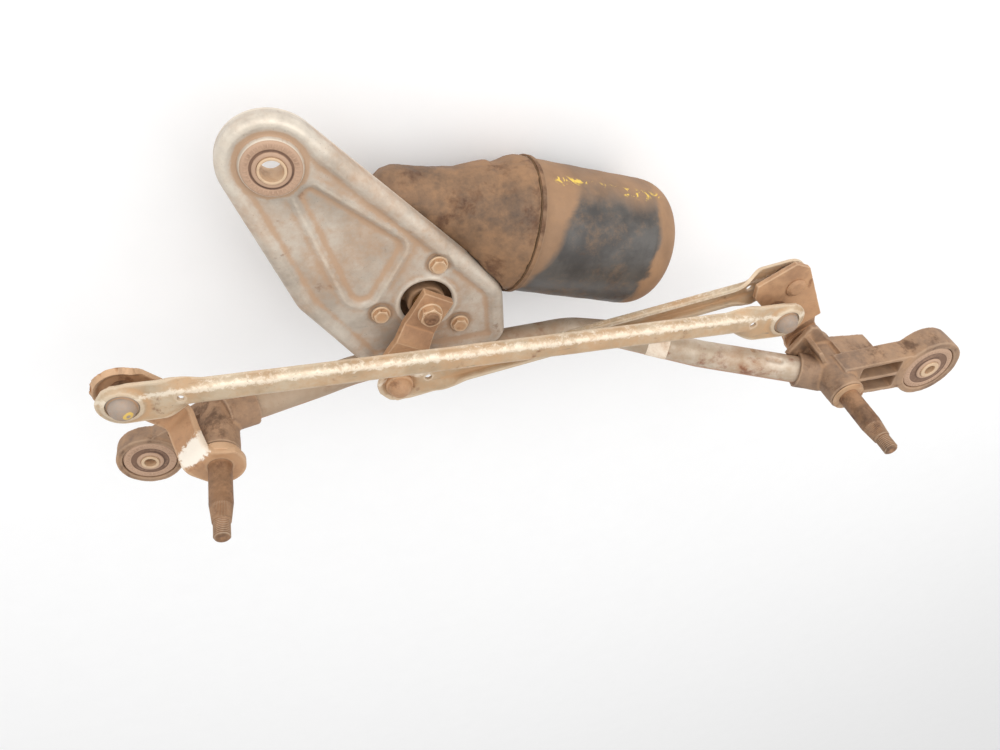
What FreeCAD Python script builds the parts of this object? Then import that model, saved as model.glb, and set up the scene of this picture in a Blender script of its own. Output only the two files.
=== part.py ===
import FreeCAD, Part
import math
import os

# Windshield wiper linkage: a bent frame tube with a cast pivot housing on each end, a pressed
# plate that carries the gear motor, and a crank, two rods and two levers that turn the spindles.
# The row frame stands on the left spindle: +Z runs along both spindles towards their threads,
# +X points to the right spindle, and z = 0 is the front face of the left lever's hub.

V = FreeCAD.Vector

# pivots, seen along the spindles
right_pivot = (426.7, -32.8)
crank_axis = (143.9, 40.3)
crank_ball = (116.8, -1.2)
lever_radius = 63.8          # spindle to the long rod's ball, both levers
lever_angle = 131.1
drive_radius = 72.5          # right spindle to the crank rod's ball
drive_angle = 115.6

# levels along the spindles
long_rod_front = -17.0
crank_rod_front = -41.5
lever_front = -30.0
lever_sheet = 4.0
crank_arm_front = -60.0
crank_arm_thick = 6.0
crank_arm_rise = 6.0         # the arm steps forward towards its ball
plate_front = -69.0
motor_level = -104.0

# spindles and their bearings
journal_r = 6.5
bush_bore_r = 6.55
bush_r = 9.0
bush_long = 14.0
spindle_r = 7.0
seat_r = 7.4                 # where a lever or a washer is pressed on
knurl_long = 13.0
thread_r = 4.9
thread_long = 11.5
barrel_r = 12.8
left_barrel = (-58.0, -10.0)
right_barrel = (-36.0, 20.5)

# rods and ball joints
ball_r = 7.0
ball_gap = 0.3
cup_wall = 1.9
cup_r = 10.0
neck_r = 4.0
rod_sheet = 2.5
rod_width = 14.6
long_rod_depth = 7.5
crank_rod_depth = 6.5
rod_end_r = 14.5
open_pivot_gap = 0.3

# frame tube
tube_r = 10.0
tube_wall = 1.8
tube_route = [(16, 2, -44), (60, -8, -64), (95, -15, -80), (250, -16, -80), (284, -19, -70),
              (339, -27, -42), (412, -34.7, -11)]
tube_bends = [45, 60, 60, 60, 90]

# motor plate
plate_sheet = 2.2
plate_depth = 12.0
plate_outline = [(65.0, 152.5, 30.0), (84.0, 62.0, 24.0), (104.0, 2.0, 10.0),
                 (185.0, 5.0, 13.0), (167.0, 32.0, 30.0)]
plate_eye = (65.0, 153.5)
output_hole_r = 17.4
bolt_circle_r = 31.0
bolt_angles = (72.0, 186.0, 314.0)

# rubber mounts: centre, front level, depth, bore radius of the housing, sleeve bore radius
left_ear = {"at": (-48.9, -24.5), "front": -38.0, "depth": 13.0, "bore": 16.3, "hole": 3.6,
            "wall": 4.2}
right_ear = {"at": (501.4, -34.5), "front": 11.0, "depth": 19.0, "bore": 19.5, "hole": 4.0,
             "wall": 5.5}
plate_mount = {"at": plate_eye, "front": -66.0, "depth": 13.0, "bore": 17.0, "hole": 6.5}

# gear motor, which lies across the crank axis
motor_turn = -19.4
worm_offset = 50.0
can_r = 45.2
can_wall = 2.5
clamp_angles = (200, 290)     # both lugs on the side away from the plate
can_from = 54.0
can_long = 113.0
can_end_r = 22.0
core_span = (can_from + 36, can_from + 88)
wheel_r = 40.0
chamber_r = 44.5
chamber = (-111.0, -88.0)


def cyl(r, z0, z1, at=(0, 0)):
    return Part.makeCylinder(r, z1 - z0, V(at[0], at[1], z0))


def ring(r_out, r_in, z0, z1, at=(0, 0)):
    return cyl(r_out, z0, z1, at).cut(cyl(r_in, z0 - 1, z1 + 1, at))


def box(x0, x1, y0, y1, z0, z1):
    return Part.makeBox(x1 - x0, y1 - y0, z1 - z0, V(x0, y0, z0))


def polar(r, degrees, at=(0, 0)):
    a = math.radians(degrees)
    return (at[0] + r * math.cos(a), at[1] + r * math.sin(a))


def join(first, *others):
    return first.fuse(list(others)).removeSplitter()


def cut(body, *tools):
    for tool in tools:
        body = body.cut(tool)
    return body


def belt(circles):
    """Face bounded by the outer tangents of circles (x, y, r), listed anticlockwise."""
    joints = []
    for i, (x0, y0, r0) in enumerate(circles):
        x1, y1, r1 = circles[(i + 1) % len(circles)]
        gap = math.hypot(x1 - x0, y1 - y0)
        side = math.atan2(y1 - y0, x1 - x0) - math.acos((r0 - r1) / gap)
        joints.append(side)
    edges = []
    for i, (x, y, r) in enumerate(circles):
        a, b = joints[i - 1], joints[i]
        while b < a:
            b += 2 * math.pi
        start, middle, end = [V(x + r * math.cos(t), y + r * math.sin(t), 0) for t in (a, (a + b) / 2, b)]
        edges.append(Part.Arc(start, middle, end).toShape())
        x1, y1, r1 = circles[(i + 1) % len(circles)]
        target = V(x1 + r1 * math.cos(b), y1 + r1 * math.sin(b), 0)
        edges.append(Part.LineSegment(end, target).toShape())
    return Part.Face(Part.Wire(edges))


def slab(circles, z0, z1):
    face = belt(circles)
    face.translate(V(0, 0, z0))
    return face.extrude(V(0, 0, z1 - z0))


def prism(points, z0, z1):
    corners = [V(x, y, z0) for x, y in points]
    return Part.Face(Part.makePolygon(corners + corners[:1])).extrude(V(0, 0, z1 - z0))


def lathe(profile, at=(0, 0)):
    """Solid of revolution about Z from (radius, z) points."""
    corners = [V(r, 0, z) for r, z in profile]
    solid = Part.Face(Part.makePolygon(corners + corners[:1])).revolve(V(0, 0, 0), V(0, 0, 1), 360)
    solid.translate(V(at[0], at[1], 0))
    return solid


def turned(shape, degrees, at):
    """Local +X turned to the given direction, local origin moved to the point."""
    shape = shape.copy()
    shape.rotate(V(0, 0, 0), V(0, 0, 1), degrees)
    shape.translate(V(at[0], at[1], at[2] if len(at) > 2 else 0))
    return shape


def hexagon(across, z0, z1, at=(0, 0)):
    points = [polar(across / math.sqrt(3), 60 * i, at) for i in range(6)]
    return prism(points, z0, z1)


def strip(profile, half_width):
    """Bent sheet: (distance, z) outline in the XZ plane, as wide as given on each side."""
    corners = [V(s, -half_width, z) for s, z in profile]
    return Part.Face(Part.makePolygon(corners + corners[:1])).extrude(V(0, 2 * half_width, 0))


def bent_path(points, bends):
    """Wire of straight runs joined by tangent arcs; one radius per inner point."""
    pts = [V(*p) for p in points]
    edges, at = [], pts[0]
    for i, radius in enumerate(bends):
        corner = pts[i + 1]
        back = (pts[i] - corner).normalize()
        ahead = (pts[i + 2] - corner).normalize()
        half = back.getAngle(ahead) / 2
        reach = radius / math.tan(half)
        a, b = corner + back * reach, corner + ahead * reach
        towards = (back + ahead).normalize()
        middle = corner + towards * (radius / math.sin(half) - radius)
        edges += [Part.LineSegment(at, a).toShape(), Part.Arc(a, middle, b).toShape()]
        at = b
    return Part.Wire(edges + [Part.LineSegment(at, pts[-1]).toShape()])


def pipe(points, bends, r_out, r_in):
    path = bent_path(points, bends)
    run = V(*points[1]) - V(*points[0])
    solids = []
    for r in (r_out, r_in):
        circle = Part.Wire(Part.makeCircle(r, V(*points[0]), run))
        solids.append(path.makePipeShell([circle], True, False))
    return solids[0], solids[0].cut(solids[1])


left_ball = polar(lever_radius, lever_angle)
right_ball = polar(lever_radius, lever_angle, right_pivot)
drive_ball = polar(drive_radius, drive_angle, right_pivot)
left_pivot = (0.0, 0.0)


# frame

def barrel(at, span):
    return cyl(barrel_r, span[0], span[1], at)


def barrel_bore(at, span):
    return cyl(bush_r, span[0] - 1, span[1] + 1, at)


def ear_ring(ear):
    return cyl(ear["bore"] + ear["wall"], ear["front"] - ear["depth"], ear["front"], ear["at"])


def ear_bore(ear):
    return cyl(ear["bore"], ear["front"] - ear["depth"] - 1, ear["front"] + 1, ear["at"])


def arm(at, ear, span, halves, wall, rib_along):
    """Cast arm from a barrel to its ear: outer walls, a floor, and one rib along it or across it."""
    dx, dy = ear["at"][0] - at[0], ear["at"][1] - at[1]
    length, angle = math.hypot(dx, dy), math.degrees(math.atan2(dy, dx))
    near_half, far_half = halves
    outer = prism([(0, -near_half), (length, -far_half), (length, far_half), (0, near_half)], *span)
    start, reach = barrel_r + 3, length - ear["bore"] - 7
    slope = (near_half - far_half) / length
    pockets = []
    if rib_along:
        for side in (-1, 1):
            inner = side * wall / 2
            far_edge = side * (near_half - slope * reach - wall)
            near_edge = side * (near_half - slope * start - wall)
            pockets.append([(start, inner), (reach, inner), (reach, far_edge), (start, near_edge)])
    else:
        middle = reach * 0.62
        for a, b in ((start, middle), (middle + wall, reach)):
            ha, hb = near_half - slope * a - wall, near_half - slope * b - wall
            pockets.append([(a, -ha), (b, -hb), (b, hb), (a, ha)])
    hollows = [prism(points, span[0] + wall, span[1] + 1) for points in pockets]
    return turned(cut(outer, *hollows), angle, at)


def collar(root, towards, r, length):
    """Socket round the end of the frame tube, along the tube's own direction."""
    return Part.makeCylinder(r, length, V(*root), V(*towards) - V(*root))


def left_housing(tube):
    socket = collar((4, 4.7, -38.6), tube_route[1], tube_r + 3.0, 20)
    web = prism([(-8, 11), (4, 14), (19, 16), (21, -8), (12, -19), (0, -15)], -52, -46)
    gusset = prism([(-2, -9.5), (1, -12), (18.5, 4), (16, 7)], -50, -35)
    body = join(barrel(left_pivot, left_barrel), ear_ring(left_ear),
                arm(left_pivot, left_ear, (-51, -39), (12.5, 15.5), 3.5, False), socket, web, gusset)
    return cut(body, barrel_bore(left_pivot, left_barrel), ear_bore(left_ear), tube,
               cyl(60, left_barrel[1], 0), cyl(60, -80, left_barrel[0]))


def right_housing(tube):
    end, before = tube_route[-1], tube_route[-2]
    run = (V(*end) - V(*before)).normalize()
    socket = collar(V(*end) + run * 12, before, tube_r + 3.2, 20)
    gusset = turned(box(4, 27, -1.8, 1.8, -27, -3), 122, right_pivot)
    flange = cyl(16.0, right_barrel[0] + 2, right_barrel[0] + 7, right_pivot)
    x, y = right_pivot
    web = prism([(x - 26, y + 6), (x - 12, y + 30), (x - 6, y + 29), (x + 8, y + 14), (x + 40, y + 9),
                 (x + 40, y), (x - 20, y)], -27, -22.5)
    stay = prism([(x + 6, y + 8), (x + 40, y + 5.5), (x + 40, y + 9), (x + 8, y + 14)], -27, -4)
    body = barrel(right_pivot, right_barrel)
    for piece in (flange, socket, gusset, web, stay,
                  arm(right_pivot, right_ear, (-8, 10), (14.5, 17.0), 3.2, True), ear_ring(right_ear)):
        body = join(body, piece)
    return cut(body, barrel_bore(right_pivot, right_barrel), ear_bore(right_ear), tube)


def bushes(at, span):
    return Part.makeCompound([ring(bush_r, bush_bore_r, span[0], span[0] + bush_long, at),
                              ring(bush_r, bush_bore_r, span[1] - bush_long, span[1], at)])


def grommet(ear, sleeve_r):
    """Rubber ring with a waist that the bore holds and a raised band each side of the sleeve."""
    r, f, back = ear["bore"], ear["front"], ear["front"] - ear["depth"]
    profile = [(sleeve_r, back - 1.5), (r - 5, back - 1.5), (r - 3.5, back), (r, back + 0.5), (r, f - 1.5),
               (r - 1.2, f - 0.6), (r - 4.5, f - 0.6), (r - 5.5, f - 2.2), (sleeve_r + 2.4, f - 2.2),
               (sleeve_r + 1.8, f + 0.4), (sleeve_r, f + 0.4)]
    return lathe(profile, ear["at"])


def sleeve(ear, sleeve_r):
    return ring(sleeve_r, ear["hole"], ear["front"] - ear["depth"] - 2.0, ear["front"] + 1.2, ear["at"])


def outline_inset(inset):
    return [(x, y, r - inset) for x, y, r in plate_outline]


def motor_plate(tube):
    back = plate_front - plate_depth
    outer = slab(outline_inset(0), back, plate_front)
    rim = [e for e in outer.Edges if e.BoundBox.ZMin > plate_front - 0.01]
    outer = outer.makeFillet(7.0, rim)
    inner = slab(outline_inset(plate_sheet), back - 1, plate_front - plate_sheet)
    rim = [e for e in inner.Edges if e.BoundBox.ZMin > plate_front - plate_sheet - 0.01]
    inner = inner.makeFillet(4.8, rim)
    pressing = outer.cut(inner)
    # shallow three-cornered panel, pressed to the back
    panel = [(82.0, 132.0, 6.0), (104.0, 56.0, 8.0), (124.0, 88.0, 7.0)]
    panel_wider = [(x, y, r + 1.6) for x, y, r in panel]
    floor = plate_front - 1.4
    pressing = join(pressing, slab(panel_wider, floor - plate_sheet, plate_front - plate_sheet + 0.2))
    pressing = pressing.cut(slab(panel, floor, plate_front + 1))
    # recessed ring that carries the motor, and the eye for the rubber mount
    seat = plate_front - 2.4
    for angle in bolt_angles:
        at = polar(bolt_circle_r, angle, crank_axis)
        pressing = join(pressing, cyl(9.0, seat - plate_sheet, plate_front - plate_sheet + 0.2, at))
        pressing = pressing.cut(cyl(7.6, seat, plate_front + 1, at))
        pressing = pressing.cut(cyl(3.3, seat - plate_sheet - 1, seat + 1, at))
    lip = ring(plate_mount["bore"] + 2.2, plate_mount["bore"], plate_front - 10, plate_front + 1.5, plate_eye)
    pressing = join(pressing.cut(cyl(plate_mount["bore"], back - 1, plate_front + 3, plate_eye)), lip)
    pressing = pressing.cut(cyl(output_hole_r, back - 1, plate_front + 1, crank_axis))
    return pressing.cut(tube)


def motor_bolts():
    seat = plate_front - 2.4
    bolts = []
    for angle in bolt_angles:
        at = polar(bolt_circle_r, angle, crank_axis)
        head = hexagon(9.2, seat + 1.2, seat + 4.0, at)
        washer = cyl(6.4, seat, seat + 1.2, at)
        bolts.append(join(head, washer, cyl(2.95, seat - 13, seat, at)))
    return Part.makeCompound(bolts)


# gear motor, drawn about its own axis: local +Z along the armature, from worm to can end

def on_motor(shape):
    foot = polar(worm_offset, motor_turn + 90, crank_axis)
    along = V(math.cos(math.radians(motor_turn)), math.sin(math.radians(motor_turn)), 0)
    side = V(-along.y, along.x, 0)
    placed = shape.copy()
    turn = FreeCAD.Rotation(side, V(0, 0, 1), along, "ZXY")
    placed.Placement = FreeCAD.Placement(V(foot[0], foot[1], motor_level), turn)
    return placed


def gearbox_housing():
    wall = 3.0
    seat = plate_front - 2.4 - plate_sheet
    outer = cyl(chamber_r, chamber[0], chamber[1], crank_axis)
    # the worm's case bulges away from the plate; the neck widens from it to the can
    bulge = lathe([(0, -46), (11, -46), (16, -42), (20, -35), (21, -22), (23, -8), (25, 5), (29, 15),
                   (33, 26), (31, 42), (0, 42)])
    bulge.translate(V(5.0, -2.0, 0))
    neck = lathe([(0, 14), (24, 14), (31, 22), (37, 31), (43, 41), (can_r + 0.4, 48), (can_r + 0.4, can_from),
                  (0, can_from)])
    clear_of_plate = slab(outline_inset(-0.5), plate_front - plate_depth - 0.5, plate_front + 1)
    case = cut(on_motor(join(bulge, neck)), clear_of_plate)
    boss = cyl(13.0, chamber[1] - 0.1, plate_front - 1.5, crank_axis)
    feet = [cyl(8.0, chamber[1] - 0.1, seat, polar(bolt_circle_r, a, crank_axis)) for a in bolt_angles]
    ribs = [turned(box(10, chamber_r - 8, -1.5, 1.5, chamber[1] - 0.1, chamber[1] + 7), a, crank_axis)
            for a in bolt_angles]
    body = join(outer, case, boss, *(feet + ribs))
    room = cyl(chamber_r - wall, chamber[0] - 1, chamber[1] - wall, crank_axis)
    tunnel = on_motor(cyl(11.0, -36, can_from + 1))
    bell = on_motor(lathe([(0, 26), (14, 26), (18, 34), (30, 46), (can_r - can_wall, 51),
                           (can_r - can_wall, 55), (0, 55)]))
    bores = [cyl(3.05, seat - 13, seat + 1, polar(bolt_circle_r, a, crank_axis)) for a in bolt_angles]
    bearing = cyl(9.0, chamber[1] - 6, plate_front, crank_axis)
    return cut(body, room, tunnel, bell, bearing, *bores)


def cover_screw_places():
    return [polar(chamber_r - 4.5, a, crank_axis) for a in (165, 197, 228, 300, 340)]


def gearbox_cover():
    top, thick = chamber[0], 2.5
    lid = cyl(chamber_r, top - thick, top, crank_axis)
    hub = cyl(12, top - thick - 3, top, crank_axis)
    ribs = [turned(box(11, 30, -1.2, 1.2, top - thick - 2, top), a, crank_axis) for a in (150, 185, 340)]
    holes = [cyl(2.1, top - thick - 1, top + 1, at) for at in cover_screw_places()]
    case_clearance = on_motor(cyl(30.0, -47, 60))
    can_clearance = on_motor(cyl(can_r + 1.5, 12, 60))
    return cut(join(lid, hub, *ribs), case_clearance, can_clearance, *holes)


def cover_screws():
    top = chamber[0] - 2.5
    return Part.makeCompound([join(cyl(3.6, top - 2.2, top, at), cyl(2.0, top, top + 2.5, at))
                              for at in cover_screw_places()])


def connector_socket():
    """Plug socket on the back of the cover, open towards -Y, with four blades."""
    z0, z1 = chamber[0] - 18.5, chamber[0] - 2.5
    x, y = crank_axis[0] - 6, crank_axis[1] - 27
    shell = box(x - 14, x + 14, y - 20, y + 10, z0, z1)
    room = box(x - 11.5, x + 11.5, y - 21, y - 2, z0 + 2.5, z1 - 2.5)
    pins = [box(x + dx - 1.4, x + dx + 1.4, y - 12, y, (z0 + z1) / 2 - 0.5, (z0 + z1) / 2 + 0.5)
            for dx in (-8, -2.7, 2.7, 8)]
    holes = [cyl(12.3, chamber[0] - 6, chamber[0], crank_axis)]
    return cut(join(cut(shell, room), *pins), *holes)


def motor_can():
    end = can_from + can_long
    outer = cyl(can_r, can_from, end)
    rim = [e for e in outer.Edges if e.BoundBox.ZMin > end - 0.01]
    outer = outer.makeFillet(can_end_r, rim)
    inner = cyl(can_r - can_wall, can_from - 1, end - can_wall)
    rim = [e for e in inner.Edges if e.BoundBox.ZMin > end - can_wall - 0.01]
    inner = inner.makeFillet(can_end_r - can_wall, rim)
    cap = join(cyl(13.0, end - 3, end + 2.5))
    rear_bush = cyl(8.0, end - 12, end + 0.5)
    return on_motor(join(outer, cap).cut(inner).cut(rear_bush))


def can_screws():
    screws = []
    for angle in clamp_angles:
        x, y = polar(can_r + 5.2, angle)
        lug_head = cyl(3.8, can_from + 3.0, can_from + 7.0, (x, y))
        screws.append(join(lug_head, cyl(2.4, can_from - 4, can_from + 3.0, (x, y))))
    return on_motor(Part.makeCompound(screws))


def can_lugs():
    """Ring with two ears that clamps the can against the gearbox flange."""
    ears = [slab([(0, 0, 8), (polar(can_r + 5.2, a)[0], polar(can_r + 5.2, a)[1], 6.5)],
                 can_from + 0.2, can_from + 3.0) for a in clamp_angles]
    body = join(cyl(can_r + 1.2, can_from + 0.2, can_from + 3.0), *ears)
    holes = [cyl(2.45, can_from - 1, can_from + 4, polar(can_r + 5.2, a)) for a in clamp_angles]
    return on_motor(cut(body, cyl(can_r + 0.05, can_from - 1, can_from + 4), *holes))


def magnets():
    arcs = []
    for angle in (0, 180):
        tube = ring(can_r - can_wall, 34.5, core_span[0] - 2, core_span[1])
        wedge = prism([(0, 0), polar(60, angle - 62), polar(90, angle), polar(60, angle + 62)],
                      can_from, can_from + can_long)
        arcs.append(tube.common(wedge))
    return on_motor(Part.makeCompound(arcs))


def brush_plate():
    disc = ring(can_r - can_wall - 0.3, 13.0, can_from + 4, can_from + 7)
    holders = [turned(box(12, 30, -5, 5, can_from + 6.9, can_from + 17), a, (0, 0)) for a in (30, 150, 270)]
    slot = box(11, 31, -3.6, 3.6, can_from + 8.5, can_from + 15.5)
    slots = [turned(slot, a, (0, 0)) for a in (30, 150, 270)]
    return on_motor(cut(join(disc, *holders), *slots))


def brushes():
    brush = box(11.3, 25, -3.4, 3.4, can_from + 8.7, can_from + 15.3)
    return on_motor(Part.makeCompound([turned(brush, a, (0, 0)) for a in (30, 150, 270)]))


def armature_bushes():
    end = can_from + can_long
    tip = ring(11.0, 4.05, -36, -28)
    middle = ring(11.0, 5.05, 16, 24)
    rear = ring(8.0, 4.05, end - 12, end - 2)
    return on_motor(Part.makeCompound([tip, middle, rear]))


def armature_shaft():
    """Shaft with the worm cut on it; the worm is a plain pitch cylinder with end chamfers."""
    end = can_from + can_long
    profile = [(0, -35), (4, -35), (4, -27), (5, -26), (5, -16), (7, -13), (7, 11), (5, 14),
               (5, end - 14), (4, end - 13), (4, end - 1), (0, end - 1)]
    return on_motor(lathe(profile))


def armature_core():
    z0, z1 = core_span
    core = ring(32.0, 5.0, z0, z1)
    slots = []
    for i in range(14):
        a = 360 / 14 * i
        slots.append(turned(box(30, 33, -1.2, 1.2, z0 - 1, z1 + 1), a, (0, 0)))
        slots.append(cyl(3.4, z0 - 1, z1 + 1, polar(26.0, a)))
    return on_motor(cut(core, *slots))


def windings():
    z0, z1 = core_span
    return on_motor(Part.makeCompound([
        lathe([(8, z0 - 12), (18, z0 - 12), (27, z0 - 6), (27, z0 - 0.2), (8, z0 - 0.2)]),
        lathe([(8, z1 + 0.2), (27, z1 + 0.2), (27, z1 + 4), (20, z1 + 9), (8, z1 + 9)])]))


def commutator():
    body = ring(11.0, 5.0, can_from + 7.5, can_from + 22)
    gaps = [turned(box(10.2, 12, -0.25, 0.25, can_from + 7, can_from + 20), 360 / 14 * i, (0, 0))
            for i in range(14)]
    return on_motor(cut(body, *gaps))


# crank

def output_shaft():
    profile = [(0, -109.5), (6, -109.5), (6, crank_arm_front - crank_arm_thick),
               (5, crank_arm_front - crank_arm_thick), (5, -53.4), (4.2, -52.8), (0, -52.8)]
    return lathe(profile, crank_axis)


def worm_wheel():
    """Wheel with one tooth space per worm turn; its rim is hollowed where the worm lies."""
    rim = cyl(wheel_r, motor_level - 6, motor_level + 6, crank_axis)
    throat = Part.makeTorus(worm_offset, 9.5, V(crank_axis[0], crank_axis[1], motor_level))
    hub = cyl(13.0, motor_level - 6.5, motor_level + 13, crank_axis)
    dish = ring(33.0, 14.0, motor_level + 3, motor_level + 7, crank_axis)
    gaps = []
    for i in range(60):
        gaps.append(turned(box(wheel_r - 2.2, wheel_r + 1, -0.9, 0.9, motor_level - 7, motor_level + 7),
                           6 * i, crank_axis))
    gaps = Part.makeCompound(gaps)
    return cut(join(cut(rim, dish), hub), gaps, throat, cyl(6.0, -120, -80, crank_axis))


def crank_frame(shape):
    angle = math.degrees(math.atan2(crank_ball[1] - crank_axis[1], crank_ball[0] - crank_axis[0]))
    return turned(shape, angle, crank_axis)


def crank_arm():
    reach = math.dist(crank_axis, crank_ball)
    back = crank_arm_front - crank_arm_thick
    front, rise = crank_arm_front, crank_arm_rise
    plan = prism([(-13, -11), (8, -11), (reach - 14, -13.2), (reach, -13.2), (reach, 13.2),
                  (reach - 14, 13.2), (8, 11), (-13, 11)], back - 1, front + rise + 1)
    plan = join(plan, cyl(13.2, back - 1, front + rise + 1, (reach, 0)))
    band = strip([(-20, front), (14, front), (26, front + rise), (80, front + rise), (80, back + rise),
                  (27, back + rise), (15, back), (-20, back)], 20)
    return cut(crank_frame(plan.common(band)), cyl(5.0, back - 1, crank_arm_front + 1, crank_axis),
               cyl(5.0, back - 1, front + rise + 1, crank_ball))


def crank_nut():
    nut = hexagon(13.0, crank_arm_front + 1.2, crank_arm_front + 6.0, crank_axis)
    washer = cyl(8.2, crank_arm_front, crank_arm_front + 1.2, crank_axis)
    return cut(join(nut, washer), cyl(5.0, -70, -50, crank_axis))


# ball joints and rods

def ball_stud(at, foot, thickness, centre, head=2.2):
    """Stud riveted through a sheet whose near face is at foot; the ball stands at centre."""
    way = 1 if centre > foot else -1
    length = abs(centre - foot)
    neck_top = length - math.sqrt(ball_r ** 2 - neck_r ** 2)
    rivet = [(4.5, -thickness - head), (7.0, -thickness - 0.35 * head), (7.0, -thickness)] if head else []
    profile = [(0, -thickness - head)] + rivet + [(5.0, -thickness), (5.0, 0), (7.5, 0), (7.5, 1.6),
               (neck_r, 2.6), (neck_r, max(neck_top, 2.7)), (0, max(neck_top, 2.7))]
    ball = Part.makeSphere(ball_r, V(0, 0, length)).cut(cyl(20, -20, 0))
    stud = join(lathe(profile), ball)
    if way < 0:
        stud.rotate(V(0, 0, 0), V(1, 0, 0), 180)
    stud.translate(V(at[0], at[1], foot))
    return stud


def ball_cup(at, face, way):
    """Plastic cup snapped into a rod's eye: collar and dome on the side that way points to."""
    hole = ball_r + ball_gap
    outer = hole + cup_wall
    rise = [(outer * math.cos(math.radians(a)), outer * math.sin(math.radians(a))) for a in range(20, 91, 10)]
    profile = [(5.6, -5.4), (11.0, -5.4), (11.0, -4.3), (cup_r, -rod_sheet), (cup_r, 0), (13.0, 0),
               (13.0, 1.2),
               (11.6, 2.4), (outer * math.cos(math.radians(20)) + 0.6, 2.6)] + rise + [(0, -5.4)]
    cup = lathe([p for p in profile if p[0] > 0.01] + [(0, outer), (0, -5.4)])
    cup = cut(cup, Part.makeSphere(hole), cyl(5.6, -6, -4))
    if way < 0:
        cup.rotate(V(0, 0, 0), V(1, 0, 0), 180)
    cup.translate(V(at[0], at[1], face))
    return cup


def open_cup(at, face):
    """The crank rod's far cup: a dome behind the rod whose mouth is flush with the rod's front."""
    outer = ball_r + ball_gap + cup_wall
    rise = [(outer * math.cos(math.radians(a)), -rod_sheet - outer * math.sin(math.radians(a)))
            for a in range(80, 9, -10)]
    profile = [(0, -rod_sheet - outer)] + rise + [(11.6, -rod_sheet - 2.4), (13.0, -rod_sheet - 1.2),
                                                  (13.0, -rod_sheet), (cup_r, -rod_sheet), (cup_r, 0), (0, 0)]
    cup = lathe(profile)
    cup = cut(cup, Part.makeSphere(ball_r + ball_gap, V(0, 0, -rod_sheet)), cyl(5.6, -2.6, 1))
    cup.translate(V(at[0], at[1], face))
    return cup


def rod_bar(length, face, depth, flange_way, holes):
    """Rolled channel between two flat eyes; flanges point towards flange_way."""
    half, sheet, eye_half = rod_width / 2, 1.8, 13.0
    back = face - rod_sheet
    z0, z1 = (face - depth, face) if flange_way < 0 else (back, back + depth)
    plates = [box(38, length - 38, -half, half, back, face)]
    for x, way in ((0, 1), (length, -1)):
        eye = [(x, 0, rod_end_r), (x + way * 18, 0, eye_half)]
        plates.append(slab(eye, back, face))
        plates.append(prism([(x + way * 18, -eye_half), (x + way * 40, -half), (x + way * 40, half),
                             (x + way * 18, eye_half)], back, face))
    # the flanges start low at each eye and reach full depth a little further in
    low, high = (back + 0.1, z0) if flange_way < 0 else (face - 0.1, z1)
    side_view = [(34, low), (34 + 2 * depth, high), (length - 34 - 2 * depth, high), (length - 34, low)]
    for y in (-half, half - sheet):
        corners = [V(x, y, z) for x, z in side_view]
        plates.append(Part.Face(Part.makePolygon(corners + corners[:1])).extrude(V(0, sheet, 0)))
    bar = join(*plates)
    for x, r in holes:
        bar = bar.cut(cyl(r, face - 20, face + 20, (x, 0)))
    return cut(bar, cyl(cup_r, face - 20, face + 20), cyl(cup_r, face - 20, face + 20, (length, 0)))


def rod_between(a, b, face, depth, flange_way, holes):
    length = math.dist(a, b)
    angle = math.degrees(math.atan2(b[1] - a[1], b[0] - a[0]))
    return turned(rod_bar(length, face, depth, flange_way, holes), angle, a)


# spindles and levers

def spindle(at, tail, journal_to, seat_to, cone):
    """Tail end, journal, press seat, plain spindle, knurled cone and thread."""
    top = cone + knurl_long + thread_long
    profile = [(0, tail), (journal_r, tail), (journal_r, journal_to), (seat_r, journal_to), (seat_r, seat_to),
               (spindle_r, seat_to), (spindle_r, cone), (thread_r + 0.7, cone + knurl_long),
               (thread_r, cone + knurl_long + 0.2), (thread_r, top - 1.2), (thread_r - 1.2, top), (0, top)]
    return lathe(profile, at)


def left_lever():
    back = lever_front - lever_sheet
    s0, s1, end = 14.6, 26.6, lever_radius + 17
    band = strip([(-16, 0), (s0, 0), (s1, lever_front), (end, lever_front), (end, back),
                  (s1 - 2.5, back), (s0 - 2.5, -lever_sheet), (-16, -lever_sheet)], 30)
    plan = slab([(0, 0, 15.2), (lever_radius, 0, 16.0)], back - 1, 1)
    plan = plan.cut(cyl(26.0, back - 2, 2, (22, -34.3)))      # waist that lets the long rod swing past
    hub = cyl(13.0, -9.0, 0)
    rim_outer = slab([(lever_radius - 6, 0, 16.0), (lever_radius, 0, 16.0)], back, lever_front + 4.5)
    rim_inner = slab([(lever_radius - 8, 0, 13.6), (lever_radius, 0, 13.6)], lever_front, lever_front + 6)
    rim = rim_outer.cut(rim_inner).common(box(lever_radius - 2, lever_radius + 20, -20, 20, back, 0))
    lever = turned(join(band.common(plan), hub, rim), lever_angle, left_pivot)
    return cut(lever, cyl(seat_r, -12, 1), cyl(5.0, back - 1, lever_front + 1, left_ball))


def right_lever():
    back = lever_front - lever_sheet
    hub_front, hub_back = -38.0, -46.0
    s0, s1, end = 13.0, 32.0, 100.0
    foot_front = hub_front - 2
    foot_back = foot_front - lever_sheet
    band = strip([(-16, foot_front), (s0, foot_front), (s1, lever_front), (end, lever_front), (end, back),
                  (s1 + 1.6, back), (s0 + 1.6, foot_back), (-16, foot_back)], 60)
    middle = 121.0
    corners = [(31, -16.5), (48, -18), (82, -21), (92, -14), (93, 16), (84, 21), (50, 15), (33, 12.5)]
    fan = prism(corners, hub_back, 0)
    neck = slab([(0, 0, 13.5), (36, 0, 12.0)], hub_back, 0)
    hub = cyl(13.5, hub_back, hub_front)
    lever = turned(join(band.common(join(fan, neck)), hub), middle, right_pivot)
    return cut(lever, cyl(journal_r, -50, -30, right_pivot), cyl(5.0, back - 1, lever_front + 1, right_ball),
               cyl(5.0, back - 1, lever_front + 1, drive_ball))


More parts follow.
